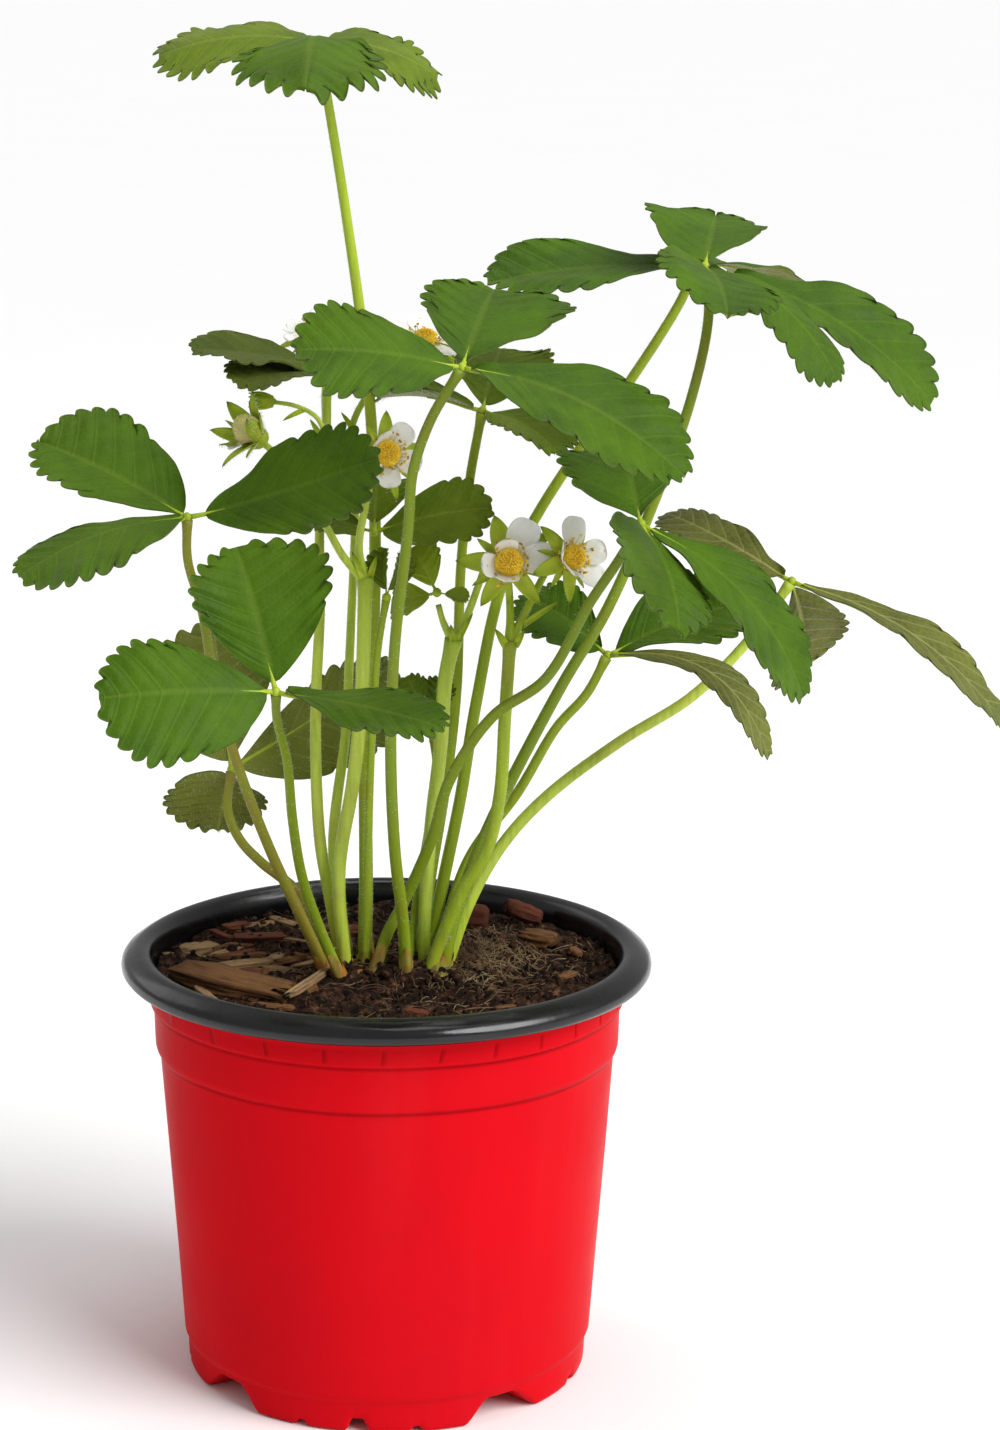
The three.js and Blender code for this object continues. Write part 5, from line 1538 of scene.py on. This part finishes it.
def stamens(aim, centre, size):
    """Short filaments with split anthers, leaning outwards round the dome."""
    points, faces, picks = [], [], []
    for k in range(stamen_count):
        angle = 2 * math.pi * (k + bloom_rand.uniform(-0.25, 0.25)) / stamen_count
        lean, long = bloom_rand.uniform(0.3, 1.15), bloom_rand.uniform(1.3, 3.2) * size
        out = Vector((math.cos(angle), math.sin(angle), 0))
        root = out * (3.3 * size) + Vector((0, 0, 0.4))
        way = (Vector((0, 0, 1)) * math.cos(lean) + out * math.sin(lean)).normalized()
        line = np.array([tuple(Vector(centre) + aim @ (root + way * (long * share)))
                         for share in (0, 0.5, 1)])
        rod, sides, _ = tube(line, [0.16, 0.13, 0.1], 5, start=len(points))
        join((points, faces, picks), (rod, sides, [2] * len(sides)))
        before = len(faces)
        across = Vector((-out.y, out.x, 0))
        twist = across * bloom_rand.uniform(-0.5, 0.5)
        tops = [root + way * long + side * 0.2 * across for side in (-1, 1)]
        grains(aim, centre, points, faces, [(top, way + twist, 0.31 * size) for top in tops])
        picks += [1 if bloom_rand.random() < 0.6 else 0] * (len(faces) - before)
    return points, faces, picks


def heart(name, centre, axis, size, nodes):
    """The dome of pistils and its ring of stamens."""
    aim, around = flower_axes(axis), 20
    points, faces, picks = stamens(aim, centre, size)
    faces += ring_faces(len(points), len(dome_profile), around, capped=True)
    points += turned(aim, centre, [(radius * size, height * size) for radius, height in dome_profile], around)
    pistils = dome_spots(pistil_count, 3.0 * size, 2.9 * size, 0.7 * size, 0.33 * size)
    grains(aim, centre, points, faces, pistils)
    picks += [0] * (len(faces) - len(picks))
    piece(name, points, faces, [pistil_yellow, anther_brown, filament_pale], nodes, picks)


for name, (centre, axis, size) in flowers.items():
    calyx(f"calyx_{name}", centre, axis, size, sepal_forms.get(name, plain_sepals),
          [f"flower_calyx_{name}"])
    points, faces, run = [], [], []
    for angle, lift, share in petal_forms[name]:
        join((points, faces, run),
             petal(flower_axes(axis), centre, angle, lift, size * share, len(points)))
    piece(f"petals_{name}", points, faces, [petal_white], [f"flower_petals_{name}"], uv=run)
    heart(f"heart_{name}", centre, axis, size, [f"flower_centre_{name}"])


# Young fruit. One flower has dropped its petals: its sepals stand up round a small pale berry
# that is swelling from the dome, set with green seeds, with one wilted petal left.

# Centre, the way it looks and its size, as for the flowers, and the berry's turn
centre, axis, size = (-31.5, -5, 233.5), (-2, -1, 2), 0.9
berry_turn = 0.3
seed_count = 80
berry_profile = [
    (2.4, -0.5), (3.1, 0.3), (3.6, 1.2), (3.5, 2.3), (3.0, 3.5), (2.2, 4.6), (1.2, 5.4), (0.3, 5.8),
]
fruit_sepals = [(20, 46, 12.2, 5.0), (92, 54, 12.4, 4.8), (150, 38, 12.2, 4.8), (218, 8, 12.0, 4.8),
                (300, 46, 11.6, 4.8)]


def berry_skin():
    """Unripe berry flesh, pale green blushing pink."""
    made, tree, shader = material("berry_unripe", 0.42, specular=0.4, glow=0.15)
    shader.inputs["Subsurface Scale"].default_value = 0.0012
    colour = ramp(tree, grain(tree, 160, 4), [(0.36, (0.42, 0.46, 0.12)), (0.52, (0.54, 0.46, 0.18)),
                                              (0.68, (0.60, 0.36, 0.22))])
    tree.links.new(colour, shader.inputs["Base Color"])
    relief(tree, shader, grain(tree, 700, 3), 0.4, 0.0003)
    return made


calyx("calyx_fruit", centre, axis, size, fruit_sepals, ["fruit_calyx"], closed=12)
aim, around = flower_axes(axis, berry_turn), 24
points = turned(aim, centre, berry_profile, around)
faces = ring_faces(0, len(berry_profile), around, capped=True)
picks = [0] * len(faces)
grains(aim, centre, points, faces, dome_spots(seed_count, 3.3, 4.6, 0.9, 0.23))
picks += [1] * (len(faces) - len(picks))
piece("berry_young", points, faces, [berry_skin(), berry_seed], ["fruit_young"], picks)
points, faces, run = petal(flower_axes(axis), centre, 186, 20, 0.62, 0)
piece("petal_wilted", points, faces, [petal_white], uv=run)


# Sheaths and hair. Every stalk's foot is wrapped in a papery stipule, and fine white hair
# covers stalks, sepals and the undersides of the leaves.

piece("stipule_sheaths", sheath_points, sheath_faces, [stipule_skin])
piece("white_hair", down_points, down_faces, [white_down])


# Studio. A plain pale floor under a white sky, a broad key light from the front right and two
# soft boxes, above and behind. The camera stands at the photograph's height, looking slightly
# down on the rim.

floor_reach = 80
sky_strength = 0.40
key_strength, key_spread, key_heading = 3.4, 42, (-0.66, 0.47, -0.59)
camera_place = (0, -0.7859, 0.3398)
camera_tilt = 12.58
camera_lens = 83.83
camera_shift = 0.0794

corners = [(-1, -1), (1, -1), (1, 1), (-1, 1)]
floor_mesh = bpy.data.meshes.new("studio_floor")
floor_mesh.from_pydata([(floor_reach * x, floor_reach * y, 0) for x, y in corners], [], [(0, 1, 2, 3)])
floor = bpy.data.objects.new("studio_floor", floor_mesh)
bpy.context.collection.objects.link(floor)
paper, tree, shader = material("studio_paper", 0.9, specular=0.1)
tree.links.new(ramp(tree, grain(tree, 3, 2), [(0.3, 0.955), (0.7, 0.965)]), shader.inputs["Base Color"])
floor_mesh.materials.append(paper)

world = bpy.data.worlds.new("studio_air")
bpy.context.scene.world = world
world.use_nodes = True
sky = world.node_tree.nodes["Background"]
sky.inputs["Color"].default_value = (1, 1, 1, 1)
sky.inputs["Strength"].default_value = sky_strength


def softbox(name, spot, aim, size, watts):
    """A square lamp, its size in metres, turned towards a point."""
    light = bpy.data.lights.new(name, "AREA")
    light.energy = watts
    light.size = size
    made = bpy.data.objects.new(name, light)
    made.location = spot
    made.rotation_euler = (Vector(aim) - Vector(spot)).to_track_quat("-Z", "Y").to_euler()
    bpy.context.collection.objects.link(made)


softbox("top_light", (0.2, 0.1, 1.3), (0.02, 0, 0.2), 0.8, 4)
softbox("back_light", (-0.8, 0.6, 0.7), (0, 0, 0.25), 0.6, 1)

key_light = bpy.data.lights.new("key_light", "SUN")
key_light.energy = key_strength
key_light.angle = math.radians(key_spread)
key = bpy.data.objects.new("key_light", key_light)
key.rotation_euler = Vector(key_heading).to_track_quat("-Z", "Y").to_euler()
bpy.context.collection.objects.link(key)

camera = bpy.data.objects.new("studio_camera", bpy.data.cameras.new("studio_camera"))
camera.location = camera_place
camera.rotation_euler = (math.radians(90 - camera_tilt), 0, 0)
camera.data.lens = camera_lens
camera.data.shift_x = camera_shift
bpy.context.collection.objects.link(camera)
bpy.context.scene.camera = camera
bpy.context.scene.view_settings.view_transform = "Standard"
